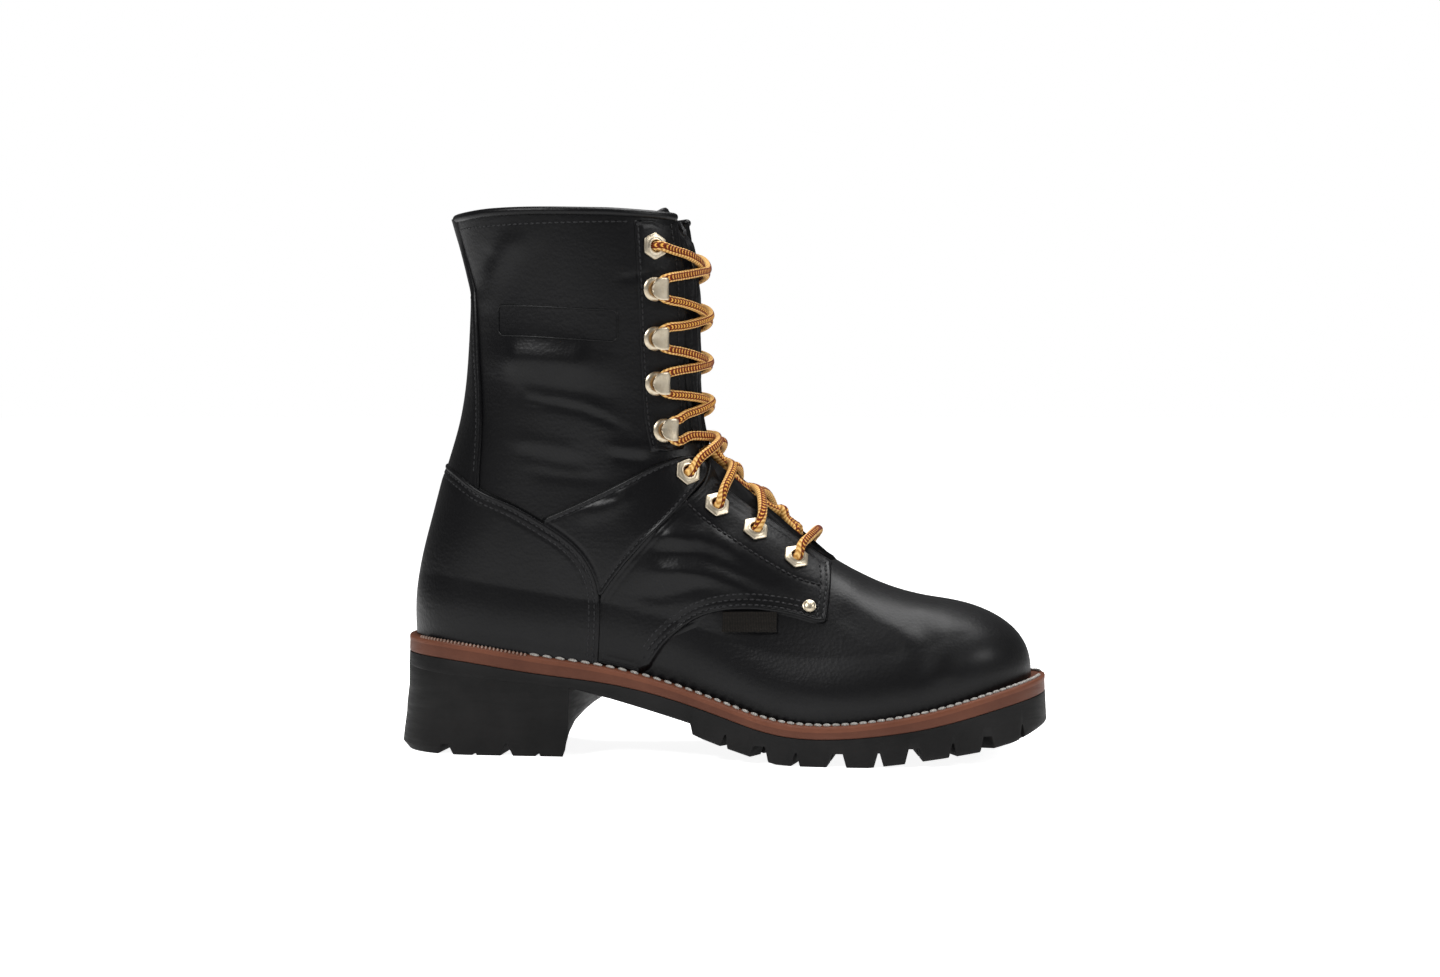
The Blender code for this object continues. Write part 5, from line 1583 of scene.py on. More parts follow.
def loops_solid(loops, ring=False):
    """Points and faces of a solid between loops of equal length, its ends closed unless it is a ring."""
    count = len(loops[0])
    half = (count + 1) // 2
    faces = ring_faces(len(loops), count, ring)
    for base in () if ring else (0, (len(loops) - 1) * count):
        faces.append([base, base + 1, base + count - 1])
        for i in range(1, half - 1):
            faces.append([base + i, base + i + 1, base + count - i - 1, base + count - i])
        if count % 2 == 0:
            faces.append([base + half - 1, base + half, base + half + 1])
    return np.concatenate(loops), faces


def edge_loop(margin, height, at, rear=2.4, toe=0.0):
    """A loop that far inside the sole's edge, and further in at the back and the toe."""
    return outline_loop(margin, margin + rear, margin + toe, height, at)


def band_low(x):
    """Height of the brown band's underside."""
    return welt_top(x) - band_height(x)


def make_insole(lining):
    """The insole with the filler that lies inside the welt."""
    at = stations(90)
    edge = UPPER_MARGIN + WALL + 2.2
    hole = WELT_INNER + 1.2 + 3 * FIT_GAP
    profile = (
        # margin, height over the welt's top, how much further in the toe is
        (edge + 1.2, FIT_GAP + INSOLE_THICK, 1.2),
        (edge, FIT_GAP + INSOLE_THICK - 0.8, 1.2),
        (edge, FIT_GAP, 1.2),
        (hole, FIT_GAP, 0.0),
        (hole, FIT_GAP - WELT_THICK, 0.0),
    )
    loops = []
    for margin, up, toe in profile:
        loops.append(edge_loop(margin, lambda x: welt_top(x) + up, at, 3.0, toe))
    points, faces = loops_solid(loops)
    item = add_mesh("insole_sheet", points, faces, lining, 40)
    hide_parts("insole")


SOLE_STATIONS = 150


def make_welt(brown):
    """The welt, a ring with a rounded upper edge."""
    at = stations(SOLE_STATIONS)
    inner = WELT_INNER + 1.2
    profile = (
        # margin, depth below the welt's top, how much further in the back is
        (inner, 0.0, 3.0), (4.4, 0.0, 2.4), (3.0, 0.05, 2.4), (1.9, 0.25, 2.4), (1.3, 0.7, 2.4),
        (1.0, 1.4, 2.4), (1.0, 2.2, 2.4), (1.05, WELT_THICK, 2.4), (inner, WELT_THICK, 3.0),
    )
    loops = []
    for margin, down, rear in profile:
        loops.append(edge_loop(margin, lambda x: welt_top(x) - down, at, rear))
    points, faces = loops_solid(loops, ring=True)
    item = add_mesh("welt_rubber", points, faces, brown, 50)
    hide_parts("welt")


def make_midsole(brown):
    """The brown band under the welt."""
    at = stations(SOLE_STATIONS)
    loops = [
        edge_loop(1.12, lambda x: welt_top(x) - WELT_THICK + 0.02, at),
        edge_loop(1.12, lambda x: welt_top(x) - WELT_THICK - 0.9, at),
        edge_loop(1.0, lambda x: band_low(x) + 0.8, at),
        edge_loop(1.15, lambda x: band_low(x) + 0.2, at),
        edge_loop(1.6, lambda x: band_low(x) - 0.05, at),
    ]
    points, faces = loops_solid(loops)
    item = add_mesh("midsole_rubber", points, faces, brown, 50)
    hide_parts("midsole")


def welt_path(margin, x_from, x_to, side, lift):
    """A line on the welt's top inside its edge."""
    at = stations(SOLE_STATIONS * 2)
    loop = edge_loop(margin, lambda x: welt_top(x) + lift, at)
    half = len(at)
    line = loop[:half] if side == OUTER else np.concatenate([loop[:1], loop[half - 1 :][::-1]])
    return line[(line[:, 0] > x_from) & (line[:, 0] < x_to)]


# Stitches of the welt: margin, lift, slant and half thickness, then pitch and half length along the sole
WELT_ROW = (3.2, 0.3, 0.22, 0.85)
WELT_PITCH = ((70, 110, 150, 200, 290, 306), (6.2, 6.0, 5.0, 4.2, 3.9, 3.3))
WELT_STITCH = ((70, 110, 150, 306), (2.5, 2.35, 2.0, 1.8))

# Wheel marks round the heel: margin, lift and pitch, then half width, half length and half height
WHEEL_ROW = (1.7, -0.05, 1.9)
WHEEL_MARK = (0.9, 0.55, 0.8)


def make_welt_stitches(thread, pale_rubber):
    """The light slanting stitches of the welt, and the wheel marks round its heel."""
    unit, unit_faces = bead(8, 6)
    up = np.array([0, 0, 1.0])
    parts, teeth = [], []
    for side in (OUTER, INNER):
        margin, lift, slant, thick = WELT_ROW
        line = welt_path(margin, 70.0, 306.4, side, lift)
        run = run_along(line)
        places = [1.0]
        while places[-1] < run[-1]:
            places.append(places[-1] + np.interp(np.interp(places[-1], run, line[:, 0]), *WELT_PITCH))
        places = np.array(places[:-1])
        spots = places_at(line, places)
        along = direction(places_at(line, places + 0.5) - spots)
        across = direction(np.cross(up, along))
        out = np.cross(along, across)
        slanted = along * math.cos(slant) + across * math.sin(slant) * side
        lengths = np.interp(spots[:, 0], *WELT_STITCH)
        for place, a, b, c, length in zip(spots, slanted, np.cross(out, slanted), out, lengths):
            wide = (unit[:, 1:2] * b + unit[:, 2:] * c) * thick
            parts.append((place + unit[:, :1] * a * length + wide, unit_faces))
        margin, lift, pitch = WHEEL_ROW
        place, along = spots_on(welt_path(margin, 14.0, 69.0, side, lift), pitch)
        across = direction(np.cross(up, along))
        ways = (across, along, np.cross(across, along))
        teeth.append(scattered(unit, unit_faces, place, ways, WHEEL_MARK))
    points, faces = merged(parts)
    add_mesh("welt_stitches", points, faces, thread)
    points, faces = merged(teeth)
    add_mesh("welt_wheel_marks", points, faces, pale_rubber)


def edge_frame(x, side):
    """Point of the sole's edge on one side, the direction along it to the toe and the way inwards."""
    def edge(at):
        toe = min(max((at - TOE_CENTRE) / (LENGTH - TOE_CENTRE), 0), 1)
        half = (outer_edge if side < 0 else inner_edge)(at) * (1 - toe**TOE_POWER) ** (1 / TOE_POWER)
        return np.array([at, float(swing(at) + side * half)])

    along = direction(edge(x + 0.2) - edge(x - 0.2))
    inwards = np.array([along[1], -along[0]]) * side
    return edge(x), along, inwards


def notch(x, side, low, top, top_width, low_width, lean, reach):
    """Points of a wedge that cuts one notch into the sole's edge."""
    place, along, inwards = edge_frame(x, side)
    below = 2.0
    spread = (low_width - top_width) / 2 * below / (top - low)
    profile = (
        (-low_width / 2 - spread - lean, low - below),
        (low_width / 2 + spread - lean, low - below),
        (top_width / 2, top),
        (-top_width / 2, top),
    )
    points = []
    for away in (-8.0, reach):
        for s, z in profile:
            xy = place + along * s + inwards * away
            points.append((xy[0], xy[1], z))
    return points


def prism_faces(count):
    """Faces of a prism whose first and second half of points are its two ends."""
    sides = [[i, (i + 1) % count, (i + 1) % count + count, i + count] for i in range(count)]
    return sides + [list(range(count))[::-1], list(range(count, 2 * count))]


def cutter(name, points, faces):
    """A hidden shape that cuts another."""
    mesh = bpy.data.meshes.new(name)
    mesh.from_pydata(to_world(points).tolist(), [], faces)
    work = bmesh.new()
    work.from_mesh(mesh)
    bmesh.ops.recalc_face_normals(work, faces=work.faces)
    work.to_mesh(mesh)
    work.free()
    item = linked(name, mesh)
    item.hide_render = True
    item.display_type = "WIRE"
    return item


def joined_prisms(name, prisms):
    """A cutter made of several prisms."""
    points, faces = merged([(prism, prism_faces(len(prism) // 2)) for prism in prisms])
    return cutter(name, points, faces)


def groove_band(inset, width, start, count, depth):
    """A band inside the sole's edge that cuts the groove behind the side lugs."""
    shares = np.sin(np.linspace(0, math.pi / 2, count + 1))
    loops = []
    for margin, lift in ((inset, -3.0), (inset, depth), (inset + width, depth), (inset + width, -3.0)):
        loops.append(outline_loop(margin, 0, margin, lambda x, lift=lift: tread(x) + lift, shares, start))
    points = np.concatenate([loop[1:] for loop in loops])
    count = len(loops[0]) - 1
    faces = [face for k, face in enumerate(ring_faces(4, count, True)) if k % count < count - 1]
    faces += [[k * count + i for k in range(4)] for i in (0, count - 1)]
    return cutter("lug_groove", points, faces)


def carve(item, cutters):
    """Cuts the shapes out of a piece, keeps the result as its mesh and rounds its sharp edges a little."""
    for tool in cutters:
        step = item.modifiers.new(tool.name, "BOOLEAN")
        step.operation = "DIFFERENCE"
        step.solver = "EXACT"
        step.object = tool
    rounded = item.modifiers.new("rounded", "BEVEL")
    rounded.width = ROUNDING * MM
    rounded.segments = 2
    rounded.limit_method = "ANGLE"
    rounded.angle_limit = math.radians(38)
    graph = bpy.context.evaluated_depsgraph_get()
    made = bpy.data.meshes.new_from_object(item.evaluated_get(graph), depsgraph=graph)
    item.modifiers.clear()
    item.data = made
    made.shade_smooth()
    made.set_sharp_from_angle(angle=math.radians(45))
    for tool in cutters:
        bpy.data.objects.remove(tool)


def make_outsole(rubber):
    """The black sole with its lugs cut free by the notches and the groove behind them."""
    knots = np.array([row[1] for row in TREAD[1:-1]], float)
    knot_shares = (knots - SOLE_REAR) / (LENGTH - SOLE_SIDE - SOLE_REAR)
    shares = np.unique(np.round(np.concatenate([stations(110), knot_shares]), 4))
    fixed = set(np.round(knot_shares, 4))
    thin = [shares[0]]
    for share in shares[1:]:
        if share - thin[-1] > 0.0022 or share in fixed or share == shares[-1]:
            thin.append(share)
    heights = (
        (1.4, 3.9, lambda x: band_low(x) - 0.08),
        (0.9, 3.4, lambda x: band_low(x) - 0.35),
        (SOLE_SIDE, SOLE_REAR, lambda x: tread(x) + 2.6),
        (SOLE_SIDE - 0.2, SOLE_REAR - 0.1, lambda x: tread(x) + 1.2),
        (SOLE_SIDE, SOLE_REAR, lambda x: tread(x) + 0.4),
        (SOLE_SIDE + 0.6, SOLE_REAR + 0.3, tread),
    )
    loops = [outline_loop(margin, rear, margin, height, thin) for margin, rear, height in heights]
    points, faces = loops_solid(loops)
    item = add_mesh("outsole_rubber", points, faces, rubber)
    cutters = [groove_band(LUG_REACH, LUG_GROOVE, 143.0, 60, LUG_DEPTH)]
    for side in (OUTER, INNER):
        wedges = []
        for x, top_width, low_width, lean in LUG_NOTCHES:
            low = float(tread(x))
            reach = LUG_THROUGH if x < TOE_CENTRE else LUG_REACH + 2
            wedges.append(notch(x, side, low, low + LUG_DEPTH, top_width, low_width, lean, reach))
        cutters.append(joined_prisms("lug_notches", wedges))
    carve(item, cutters)
    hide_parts("outsole")


def make_heel(rubber):
    """The heel block in its layers, with its breast slanting back on the inner side."""
    shares = round_shares(70)
    steps = []
    for row, following in zip(HEEL_LEVELS, HEEL_LEVELS[1:]):
        steps += [(row, following, 0.0), (row, following, 0.5)]
    steps.append((HEEL_LEVELS[-1], HEEL_LEVELS[-1], 0.0))
    loops = []
    for (name, z0, *first), (_, z1, *second), share in steps:
        first = np.array(first)
        margin, back, outer_x, inner_x = first + (second - first) * share
        if name == "top":
            margin, back = margin * HEEL_FLUSH, HEEL_TOP_BACK
        sides = []
        for breast, edge, sign in ((outer_x, outer_edge, OUTER), (inner_x, inner_edge, INNER)):
            x = back + (breast - back) * shares
            rear = np.clip((HEEL_CENTRE - x) / (HEEL_CENTRE - back), 0, 1)
            half = (edge(x) - margin) * (1 - rear**HEEL_POWER) ** (1 / HEEL_POWER)
            top = tread(x) + (HEEL_LAP if share == 0 else HEEL_UNDER_LAP)
            start = top if name == "top" else np.full_like(x, z0)
            sides.append(np.stack([x, sign * half, start + (z1 - start) * share], -1))
        loops.append(np.concatenate([sides[0], sides[1][:0:-1]]))
    points, faces = loops_solid(loops)
    item = add_mesh("heel_rubber", points, faces, rubber)
    cutters = []
    for side in (OUTER, INNER):
        wedges = []
        for x, depth, top_width, low_width in HEEL_NOTCHES:
            wedges.append(notch(x, side, 0.0, depth, top_width, low_width, 0.0, HEEL_NOTCH_REACH))
        cutters.append(joined_prisms("heel_notches", wedges))
    carve(item, cutters)
    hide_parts("heel")


# Metal


def local_frame(x, z, side, lift):
    """Place on the upper with the ways forward along it, up along it and outwards."""
    place = on_skin(x, z, side)
    out = outward(place)
    forward = direction(np.array([1.0, 0.0, 0.0]) - out * out[0])
    up = np.cross(out, forward)
    if up[2] < 0:
        up = -up
    return place + out * lift, forward, up, out


def placed(where, points):
    """Points given forward, up and out of a place on the upper."""
    place, forward, up, out = where
    points = np.asarray(points, float)
    return place + points[:, :1] * forward + points[:, 1:2] * up + points[:, 2:] * out


OVER_UPPER = EYESTAY_LIFT + 0.1

# Eyelet from its rim inwards: its rings with six sides, then its round ones, each by radius and height
EYELET_SIDES = 48
EYELET_HEXAGONS = ((6.6, -0.2), (6.6, 0.45), (6.35, 0.75), (5.7, 0.95))
EYELET_CIRCLES = (
    (4.5, 1.02), (3.9, 1.1), (3.5, 1.38), (3.1, 1.42), (2.75, 1.2), (2.6, 0.8), (2.6, -2.6), (3.0, -2.6),
    (3.0, -0.2),
)
CORNER_ROUND = 0.025
CORNER_SPREAD = 0.09

# Turned profiles of radius and height, and the hook's strap: place towards the throat, height, half width
HOOK_FOOT = (
    (2.1, 0.0), (2.1, 0.7), (2.5, 1.05), (3.3, 1.3), (4.4, 1.2), (5.3, 0.75), (5.7, 0.2), (5.6, 0.0),
)
HOOK_CUP = ((0.05, 0.05), (0.05, 0.42), (1.2, 0.38), (2.2, 0.2), (2.2, 0.05))
HOOK_STRAP = (
    (1.2, 0.9, 2.6), (2.9, 0.95, 2.9), (4.1, 1.25, 3.2), (4.75, 2.1, 3.5), (4.9, 3.2, 3.8), (4.85, 4.5, 4.3),
    (4.5, 5.6, 4.8), (3.7, 6.25, 5.1), (2.4, 6.5, 5.2), (0.8, 6.6, 5.15), (-0.9, 6.55, 4.8), (-2.3, 6.4, 4.0),
    (-3.4, 6.2, 2.6), (-4.0, 6.05, 0.9),
)
HOOK_THICK = 0.9
HOOK_DOME = 0.35
RIVET_PROFILE = (
    (0.02, 1.55), (0.9, 1.5), (1.7, 1.28), (2.3, 0.9), (2.65, 0.45), (3.05, 0.32), (3.05, -0.2), (0.02, -0.2),
)


def lathe(profile, sides):
    """Points and faces of a closed profile of radius and height turned round the third axis."""
    points = []
    for radius, height in profile:
        for k in range(sides):
            turn = 2 * math.pi * k / sides
            points.append((radius * math.cos(turn), radius * math.sin(turn), height))
    return np.array(points), ring_faces(len(profile), sides, True)


def make_eyelet(name, x, z, side, lift, brass):
    """A six-sided washer with its points up and down, and a rolled barrel through its hole."""
    turns = 2 * math.pi * np.arange(EYELET_SIDES) / EYELET_SIDES
    sixth, twelfth = math.radians(60), math.radians(30)
    corner = np.abs((turns - math.radians(90) + twelfth) % sixth - twelfth)
    six_sided = math.cos(twelfth) / np.cos(twelfth - corner) - hump(corner, CORNER_ROUND, CORNER_SPREAD)
    rings = []
    for shape, rows in ((six_sided, EYELET_HEXAGONS), (np.ones(EYELET_SIDES), EYELET_CIRCLES)):
        for radius, height in rows:
            reach = radius * shape
            flat = np.full(EYELET_SIDES, height)
            rings.append(np.stack([reach * np.cos(turns), reach * np.sin(turns), flat], -1))
    points = placed(local_frame(x, z, side, lift), np.concatenate(rings))
    faces = ring_faces(len(rings), EYELET_SIDES, True)
    item = add_mesh(name + "_brass", points, faces, brass, 28)
    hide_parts(name)


def make_hook(name, x, z, side, brass):
    """A lace hook: a ringed foot, a neck towards the throat and a round plate folded back over the foot."""
    path = np.array(HOOK_STRAP)
    run = run_along(path[:, :2])
    along, height, half = (spline(run, values)(np.linspace(0, run[-1], 44)) for values in path.T)
    line = np.stack([along, height], -1)
    ahead = direction(np.gradient(line, axis=0))
    normals = np.stack([-ahead[:, 1], ahead[:, 0]], -1)
    shares = np.sin(np.linspace(-math.pi / 2, math.pi / 2, 15))
    dome = HOOK_DOME * (1 - shares**2)
    rim = HOOK_THICK / 2 * np.sqrt(np.clip(1 - np.abs(shares) ** 8, 0.06, 1))
    sheets = []
    for sign in (1, -1):
        rows = []
        for place, normal, reach in zip(line, normals, np.clip(half, 0.3, 5.3)):
            spot = place + normal * (dome - sign * rim)[:, None]
            rows.append(np.stack([spot[:, 0], shares * reach, spot[:, 1]], -1))
        sheets.append(np.array(rows))
    points, faces = merged([lathe(HOOK_FOOT, 36), slab(*sheets), lathe(HOOK_CUP, 20)])
    points = placed(local_frame(x, z, side, OVER_UPPER), points)
    item = add_mesh(name + "_brass", points, faces, brass, 40)
    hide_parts(name)


def make_rivet(name, x, z, side, brass):
    """The domed rivet at the quarter's corner."""
    points, faces = lathe(RIVET_PROFILE, 30)
    points = placed(local_frame(x, z, side, OVERLAY + 0.3), points)
    item = add_mesh(name + "_brass", points, faces, brass, 40)
    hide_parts(name)


def make_metal(brass):
    """All eyelets, hooks and rivets of both sides."""
    for side, label in SIDES:
        for number, (x, z) in enumerate(EYELETS, 1):
            lift = {4: STRAP_LIFT + 0.2, 5: OVER_UPPER}.get(number, OVERLAY + 0.35)
            make_eyelet(f"eyelet_{label}_{number}", x, z, side, lift, brass)
        for number, (x, z) in enumerate(HOOKS, 1):
            make_hook(f"hook_{label}_{number}", x, z, side, brass)
        make_rivet("rivet_" + label, *RIVET, side, brass)


def make_tag(cloth):
    """The blank woven tab that hangs below the outer quarter's edge."""
    across = np.linspace(-TAG_LENGTH / 2, TAG_LENGTH / 2, 40)
    up = np.linspace(-TAG_HEIGHT / 2, TAG_HEIGHT / 2 + 1.6, 16)
    grid = np.stack(np.meshgrid(across, up), -1)
    wave = 0.25 * np.sin(grid[..., 0] * 0.42 + 0.5) + 0.12 * np.sin(grid[..., 1] * 1.4)
    rise = np.where(grid[..., 1] < 0, (-grid[..., 1] / TAG_HEIGHT) * 0.7, 0)
    high, low = [], []
    for row, w, r in zip(grid, wave, rise):
        x = TAG[0] + row[:, 0]
        z = TAG[1] + row[:, 1]
        high.append(on_skin(x, z, OUTER, FIT_GAP + TAG_THICK + w + r, True))
        low.append(on_skin(x, z, OUTER, FIT_GAP + w * 0.6 + r * 0.8, True))
    points, faces = slab(np.array(high), np.array(low))
    item = add_mesh("side_tag_cloth", points, faces, cloth, 50)
    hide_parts("side_tag")


# Lace


RIDGE_START = 60


def beside_ridge(ridge_z, offset, lift):
    """Point over the last, by the height on the ridge beside it and its distance from the middle."""
    run = float(np.interp(ridge_z, top_fine[RIDGE_START:, 1], run_fine[RIDGE_START:]))
    spot, after = (
        np.array([np.interp(at, run_fine, values) for values in top_fine.T]) for at in (run, run + 1)
    )
    ahead = direction(after - spot)
    inwards = np.array([-ahead[1], ahead[0]])
    place = spot
    for _ in range(3):
        wide, _, _, power = form(*place)
        over = (1 - min(abs(offset) / float(wide), 0.98) ** float(power)) ** (1 / float(power))
        place = spot + inwards * float(depth_along(run)) * (1 - over)
    _, middle = skin(*place)
    point = np.array([place[0], float(middle) + offset, place[1]])
    return point + outward(point) * lift


def half_strand(ridge_z, offset, lift, crossing, ridge_lift, steps=3):
    """Places from one side up to the middle, without the middle itself."""
    path = []
    for step in range(steps):
        share = step / steps
        height = ridge_z + (crossing - ridge_z) * share
        over = ridge_lift + (lift - ridge_lift) * (1 - share**4)
        path.append(beside_ridge(height, offset * (1 - share), over))
    return path


def crossing_strand(row, from_side):
    """Places of one strand of a crossing, from the given side to the other."""
    _, z0, y0, lift0, z1, y1, lift1, crossing = row
    ridge_lift = HIGH_STRAND if from_side == OUTER else LOW_STRAND
    first = half_strand(z0, from_side * y0, lift0, crossing, ridge_lift)
    second = half_strand(z1, -from_side * y1, lift1, crossing, ridge_lift)
    return first + [beside_ridge(crossing, 0.0, ridge_lift)] + second[::-1]


def at_eyelet(number, side, spots):
    """Places beside an eyelet of a side, each given by its distance outwards and forward."""
    place, forward, _, out = local_frame(*EYELETS[number], side, 0.0)
    return [place + out * away + forward * ahead for away, ahead in spots]


def through_eyelet(number, side, ridge_z):
    """Places from under the leather out of an eyelet's hole."""
    top = STRAP_LIFT + 2.3 if number == 3 else OVERLAY + 2.4
    under = beside_ridge(ridge_z, side * 15.0, -4.6)
    return [under] + at_eyelet(number, side, ((-4.4, 1.2), (-1.0, 0.0), (top, 0.6)))


# Places of the lace round the neck of a hook, from its lower to its upper side: forward, up, out
ROUND_HOOK = (
    (5.6, -5.0, 3.6), (2.6, -3.9, 3.7), (0.9, -1.8, 3.8), (0.5, 0.2, 3.8), (0.9, 2.1, 3.8), (2.6, 4.1, 3.7),
    (5.6, 5.2, 3.6),
)


def lace_route(side):
    """Places of one half of the lace, from under the lowest eyelet of a side up to a top eyelet."""
    path = at_eyelet(0, side, ((-1.0, 0.0), (-4.6, 0.5))) + [beside_ridge(103.4, side * 13.0, -4.2)]
    at = side
    for number, row in enumerate(CROSSINGS):
        path += crossing_strand(row, at)
        at = -at
        if number < 3:
            path += through_eyelet(number + 1, at, row[4] - 1.5)
        elif number < 7:
            path += list(placed(local_frame(*HOOKS[number - 3], at, OVER_UPPER), ROUND_HOOK))
    return path + at_eyelet(-1, at, ((3.4, 2.2), (1.2, 0.0), (-2.4, 0.0), (-5.0, 2.0)))


def bar_strand():
    """Places of the bar between the lowest eyelets, from the outer to the inner one."""
    height, offset, lift = BAR
    start, end = (at_eyelet(0, side, ((OVERLAY + 2.6, 0.4),)) for side in (OUTER, INNER))
    first = half_strand(height, -offset, lift, height, lift)
    second = half_strand(height, offset, lift, height, lift)
    return start + first + [beside_ridge(height, 0.0, lift)] + second[::-1] + end


def centripetal(points, step):
    """A smooth curve through all places, spaced evenly."""
    points = np.asarray(points, float)
    keep = np.concatenate([[True], np.linalg.norm(np.diff(points, axis=0), axis=1) > 0.6])
    points = points[keep]
    knots = np.concatenate([[0], np.cumsum(np.linalg.norm(np.diff(points, axis=0), axis=1) ** 0.5)])
    padded = np.concatenate([[2 * points[0] - points[1]], points, [2 * points[-1] - points[-2]]])
    t = np.concatenate([[-knots[1]], knots, [knots[-1] * 2 - knots[-2]]])
    curve = []
    for i in range(len(points) - 1):
        at = np.linspace(t[i + 1], t[i + 2], 24, endpoint=False)[:, None]
        level = padded[i : i + 4]
        for reach, low in ((1, i), (2, i), (1, i + 1)):
            ends = [(t[k], t[k + reach]) for k in range(low, low + len(level) - 1)]
            pairs = zip(ends, level, level[1:])
            level = [(b - at) / (b - a) * p + (at - a) / (b - a) * q for (a, b), p, q in pairs]
        curve.append(level[0])
    curve = np.concatenate(curve + [points[-1:]])
    for _ in range(3):
        curve[1:-1] = (curve[:-2] + 2 * curve[1:-1] + curve[2:]) / 4
    return places_at(curve, np.arange(0, run_along(curve)[-1], step))


LACE_STEP = 0.45
LACE_SIDES = 24
LACE_SETTLE = 25
BRAID_DEPTH = 0.20


def lace_centre():
    """The middle line of the whole lace."""
    places = lace_route(INNER)[::-1] + bar_strand()[::-1] + lace_route(OUTER)
    return centripetal(places, LACE_STEP)


def make_lace(cord, path):
    """The lace as one braided tube, its stripe turned outwards where it can be seen."""
    along = direction(np.gradient(path, axis=0))
    frames = ways_across(along)
    third = np.cross(along, frames)
    out = outward(path)
    flat = out - along * (out * along).sum(1, keepdims=True)
    clear = np.linalg.norm(flat, axis=1) > 0.75
    turn = np.arctan2((flat * third).sum(1), (flat * frames).sum(1))
    order = np.arange(len(path))
    turn = np.interp(order, order[clear], np.unwrap(turn[clear]))
    spread = 2 * LACE_SETTLE + 1
    turn = np.convolve(np.pad(turn, LACE_SETTLE, mode="edge"), np.ones(spread) / spread, "valid")
    first = frames * np.cos(turn)[:, None] + third * np.sin(turn)[:, None]
    second = np.cross(along, first)
    run = order * LACE_STEP
    angle = 2 * math.pi * np.arange(LACE_SIDES) / LACE_SIDES
    folded = np.abs((angle / math.pi) % 1 - 0.5) * 2
    phase = run[:, None] / LACE_PITCH + 0.85 * (1 - folded[None])
    weave = 0.5 + 0.5 * np.cos(2 * math.pi * phase)
    radius = (LACE_RADIUS - 0.16 + BRAID_DEPTH * weave) * round_ends(run, 0.05)[:, None]
    points = path[:, None] + radius[..., None] * (
        np.cos(angle)[None, :, None] * first[:, None] + np.sin(angle)[None, :, None] * second[:, None])
    count = LACE_SIDES
    faces = ring_faces(len(path), count)
    uvs = []
    for v0, v1 in zip(run / LACE_PITCH, run[1:] / LACE_PITCH):
        for k in range(count):
            a, b = k / count, (k + 1) / count
            uvs += [(a, v0), (b, v0), (b, v1), (a, v1)]
    for base in (0, (len(path) - 1) * count):
        faces.append([base + k for k in range(count)])
        uvs += [(0.25, 0.0)] * count
    mesh = bpy.data.meshes.new("lace_cord")
    mesh.from_pydata(to_world(points.reshape(-1, 3)).tolist(), [], faces)
    layer = mesh.uv_layers.new(name="braid")
    layer.data.foreach_set("uv", np.array(uvs, np.float32).ravel())
    mesh.materials.append(cord)
    mesh.shade_smooth()
    item = linked("lace_cord", mesh)
    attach(item, "root")
    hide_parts(*[f"lace_{k}" for k in range(1, 10)])


# Room, light and camera

PHOTO_WIDTH = 1440
PHOTO_HEIGHT = 977
PHOTO_AIM = (721.0, 474.0)
PHOTO_SCALE = 2090.0
CAMERA_AZIMUTH = 8.0
CAMERA_AWAY = 1.2
CAMERA_UP = 0.165
AIM = Vector((0.0, 0.0, 0.132))
SENSOR = 36.0
ROOM_LIGHT = 0.11
FLOOR_GLOW = 0.91
FLOOR_BOUNCE = 0.25
FLOOR_REACH = 30


def make_camera():
    """The camera at the photograph's angle, distance and framing."""
    data = bpy.data.cameras.new("camera")
    camera = linked("camera", data)
    turn = math.radians(CAMERA_AZIMUTH)
    camera.location = (math.sin(turn) * CAMERA_AWAY, -math.cos(turn) * CAMERA_AWAY, CAMERA_UP)
    view = AIM - camera.location
    camera.rotation_euler = view.to_track_quat("-Z", "Y").to_euler()
    data.sensor_width = SENSOR
    data.lens = PHOTO_SCALE * view.length * SENSOR / PHOTO_WIDTH
    data.shift_x = (PHOTO_WIDTH / 2 - PHOTO_AIM[0]) / PHOTO_WIDTH
    data.shift_y = (PHOTO_AIM[1] - PHOTO_HEIGHT / 2) / PHOTO_WIDTH
    bpy.context.scene.camera = camera


def area_light(name, place, target, size, power):
    """A square light that faces a target."""
    data = bpy.data.lights.new(name, "AREA")
    data.size = size
    data.energy = power
    item = linked(name, data)
    item.location = place
    item.rotation_euler = (Vector(target) - Vector(place)).to_track_quat("-Z", "Y").to_euler()


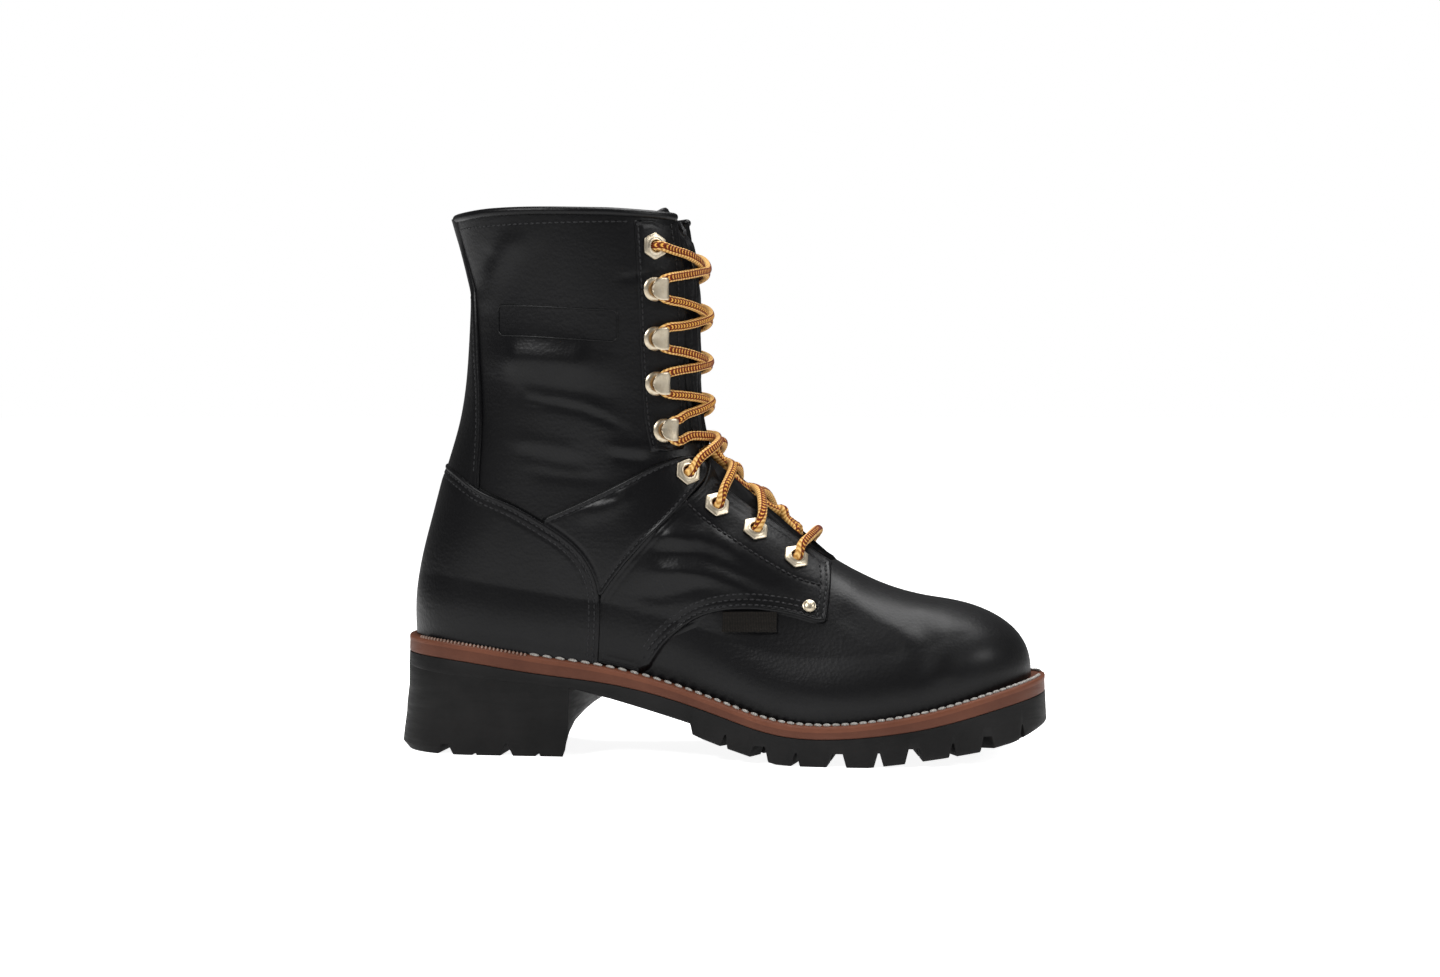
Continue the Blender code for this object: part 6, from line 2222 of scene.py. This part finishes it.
def make_studio():
    """A white backdrop, a pale floor that glows to the camera, and three soft lights."""
    world = bpy.data.worlds.new("studio")
    world.use_nodes = True
    tree = world.node_tree
    room = tree.nodes["Background"]
    room.inputs["Color"].default_value = (1.0, 1.0, 1.0, 1)
    room.inputs["Strength"].default_value = ROOM_LIGHT
    backdrop = node(tree, "ShaderNodeBackground", Strength=1.0)
    backdrop.inputs["Color"].default_value = (1.0, 1.0, 1.0, 1)
    rays = node(tree, "ShaderNodeLightPath")
    mixed = node(tree, "ShaderNodeMixShader")
    tree.links.new(rays.outputs["Is Camera Ray"], mixed.inputs[0])
    tree.links.new(room.outputs[0], mixed.inputs[1])
    tree.links.new(backdrop.outputs[0], mixed.inputs[2])
    tree.links.new(mixed.outputs[0], tree.nodes["World Output"].inputs["Surface"])
    bpy.context.scene.world = world
    bpy.context.scene.view_settings.view_transform = "Standard"
    mesh = bpy.data.meshes.new("floor")
    corners = ((-1, -1), (1, -1), (1, 1), (-1, 1))
    mesh.from_pydata([(x * FLOOR_REACH, y * FLOOR_REACH, 0) for x, y in corners], [], [(0, 1, 2, 3)])
    floor = linked("floor", mesh)
    made, tree, shader = new_material("pale_floor", (0.9, 0.9, 0.9), 0.9, Specular_IOR_Level=0.1,
                                      Emission_Color=(1, 1, 1, 1))
    tree.links.new(ramp(tree, noise(tree, place_of(tree), 3.0, 2.0), ((0.3, 0.88), (0.7, 0.92))),
                   shader.inputs["Base Color"])
    rays = node(tree, "ShaderNodeLightPath")
    seen = math_node(tree, "MULTIPLY", rays.outputs["Is Camera Ray"], FLOOR_GLOW - FLOOR_BOUNCE)
    tree.links.new(math_node(tree, "ADD", seen, FLOOR_BOUNCE), shader.inputs["Emission Strength"])
    mesh.materials.append(made)
    area_light("key", (-0.8, -1.0, 1.3), (0.0, 0.0, 0.14), 0.6, 20)
    area_light("top", (0.25, 0.25, 1.4), (0.05, 0.0, 0.1), 0.9, 20)
    area_light("front", (1.4, -0.5, 0.9), (0.05, 0.0, 0.08), 0.5, 7)


def main():
    """Builds every piece and the room."""
    black, black_light = (0.0022, 0.0022, 0.0026), (0.0045, 0.0045, 0.0051)
    leather = leather_material("black_leather", black, black_light, 0.36, 0.2)
    soft_dark, soft_light = (0.0028, 0.0028, 0.0032), (0.006, 0.006, 0.007)
    soft = leather_material("tongue_leather", soft_dark, soft_light, 0.42, 0.05, 1.3)
    lining = leather_material("shaft_lining", (0.035, 0.03, 0.026), (0.055, 0.046, 0.038), 0.7, 0.0, 0.7)
    footbed = leather_material("insole_leather", (0.23, 0.14, 0.075), (0.33, 0.21, 0.12), 0.65, 0.0, 0.8)
    brown = rubber_material("brown_rubber", (0.115, 0.040, 0.022), (0.165, 0.058, 0.032), 0.5)
    brown_low = rubber_material("brown_rubber_low", (0.085, 0.030, 0.018), (0.12, 0.044, 0.026), 0.52)
    # Paler, greyer brown rubber for the wheel marks on the welt's top, lighter than the welt itself
    pale_brown = rubber_material("brown_rubber_pale", (0.20, 0.13, 0.10), (0.34, 0.24, 0.20), 0.6)
    rubber = rubber_material("black_rubber", (0.006, 0.006, 0.006), (0.012, 0.0115, 0.0115), 0.55)
    brass = brass_material()
    thread = thread_material("black_thread", (0.006, 0.006, 0.0065), (0.024, 0.024, 0.026))
    pale_thread = thread_material("pale_thread", (0.17, 0.16, 0.15), (0.42, 0.40, 0.37))
    cord = lace_material()
    cloth = cloth_material()
    make_camera()
    path = lace_centre()
    make_lace(cord, path)
    make_upper(leather, lining)
    counter_edge = make_counter(leather)
    make_backstay(leather, counter_edge)
    make_straps(leather)
    make_quarters(leather)
    make_eyestays(leather)
    make_piping(leather)
    make_tongue(soft, path)
    make_stitches(thread, counter_edge)
    make_stamp_frame(leather)
    make_insole(footbed)
    make_welt(brown)
    make_midsole(brown_low)
    make_welt_stitches(pale_thread, pale_brown)
    make_outsole(rubber)
    make_heel(rubber)
    make_metal(brass)
    make_tag(cloth)
    make_studio()


main()
bpy.context.view_layer.update()
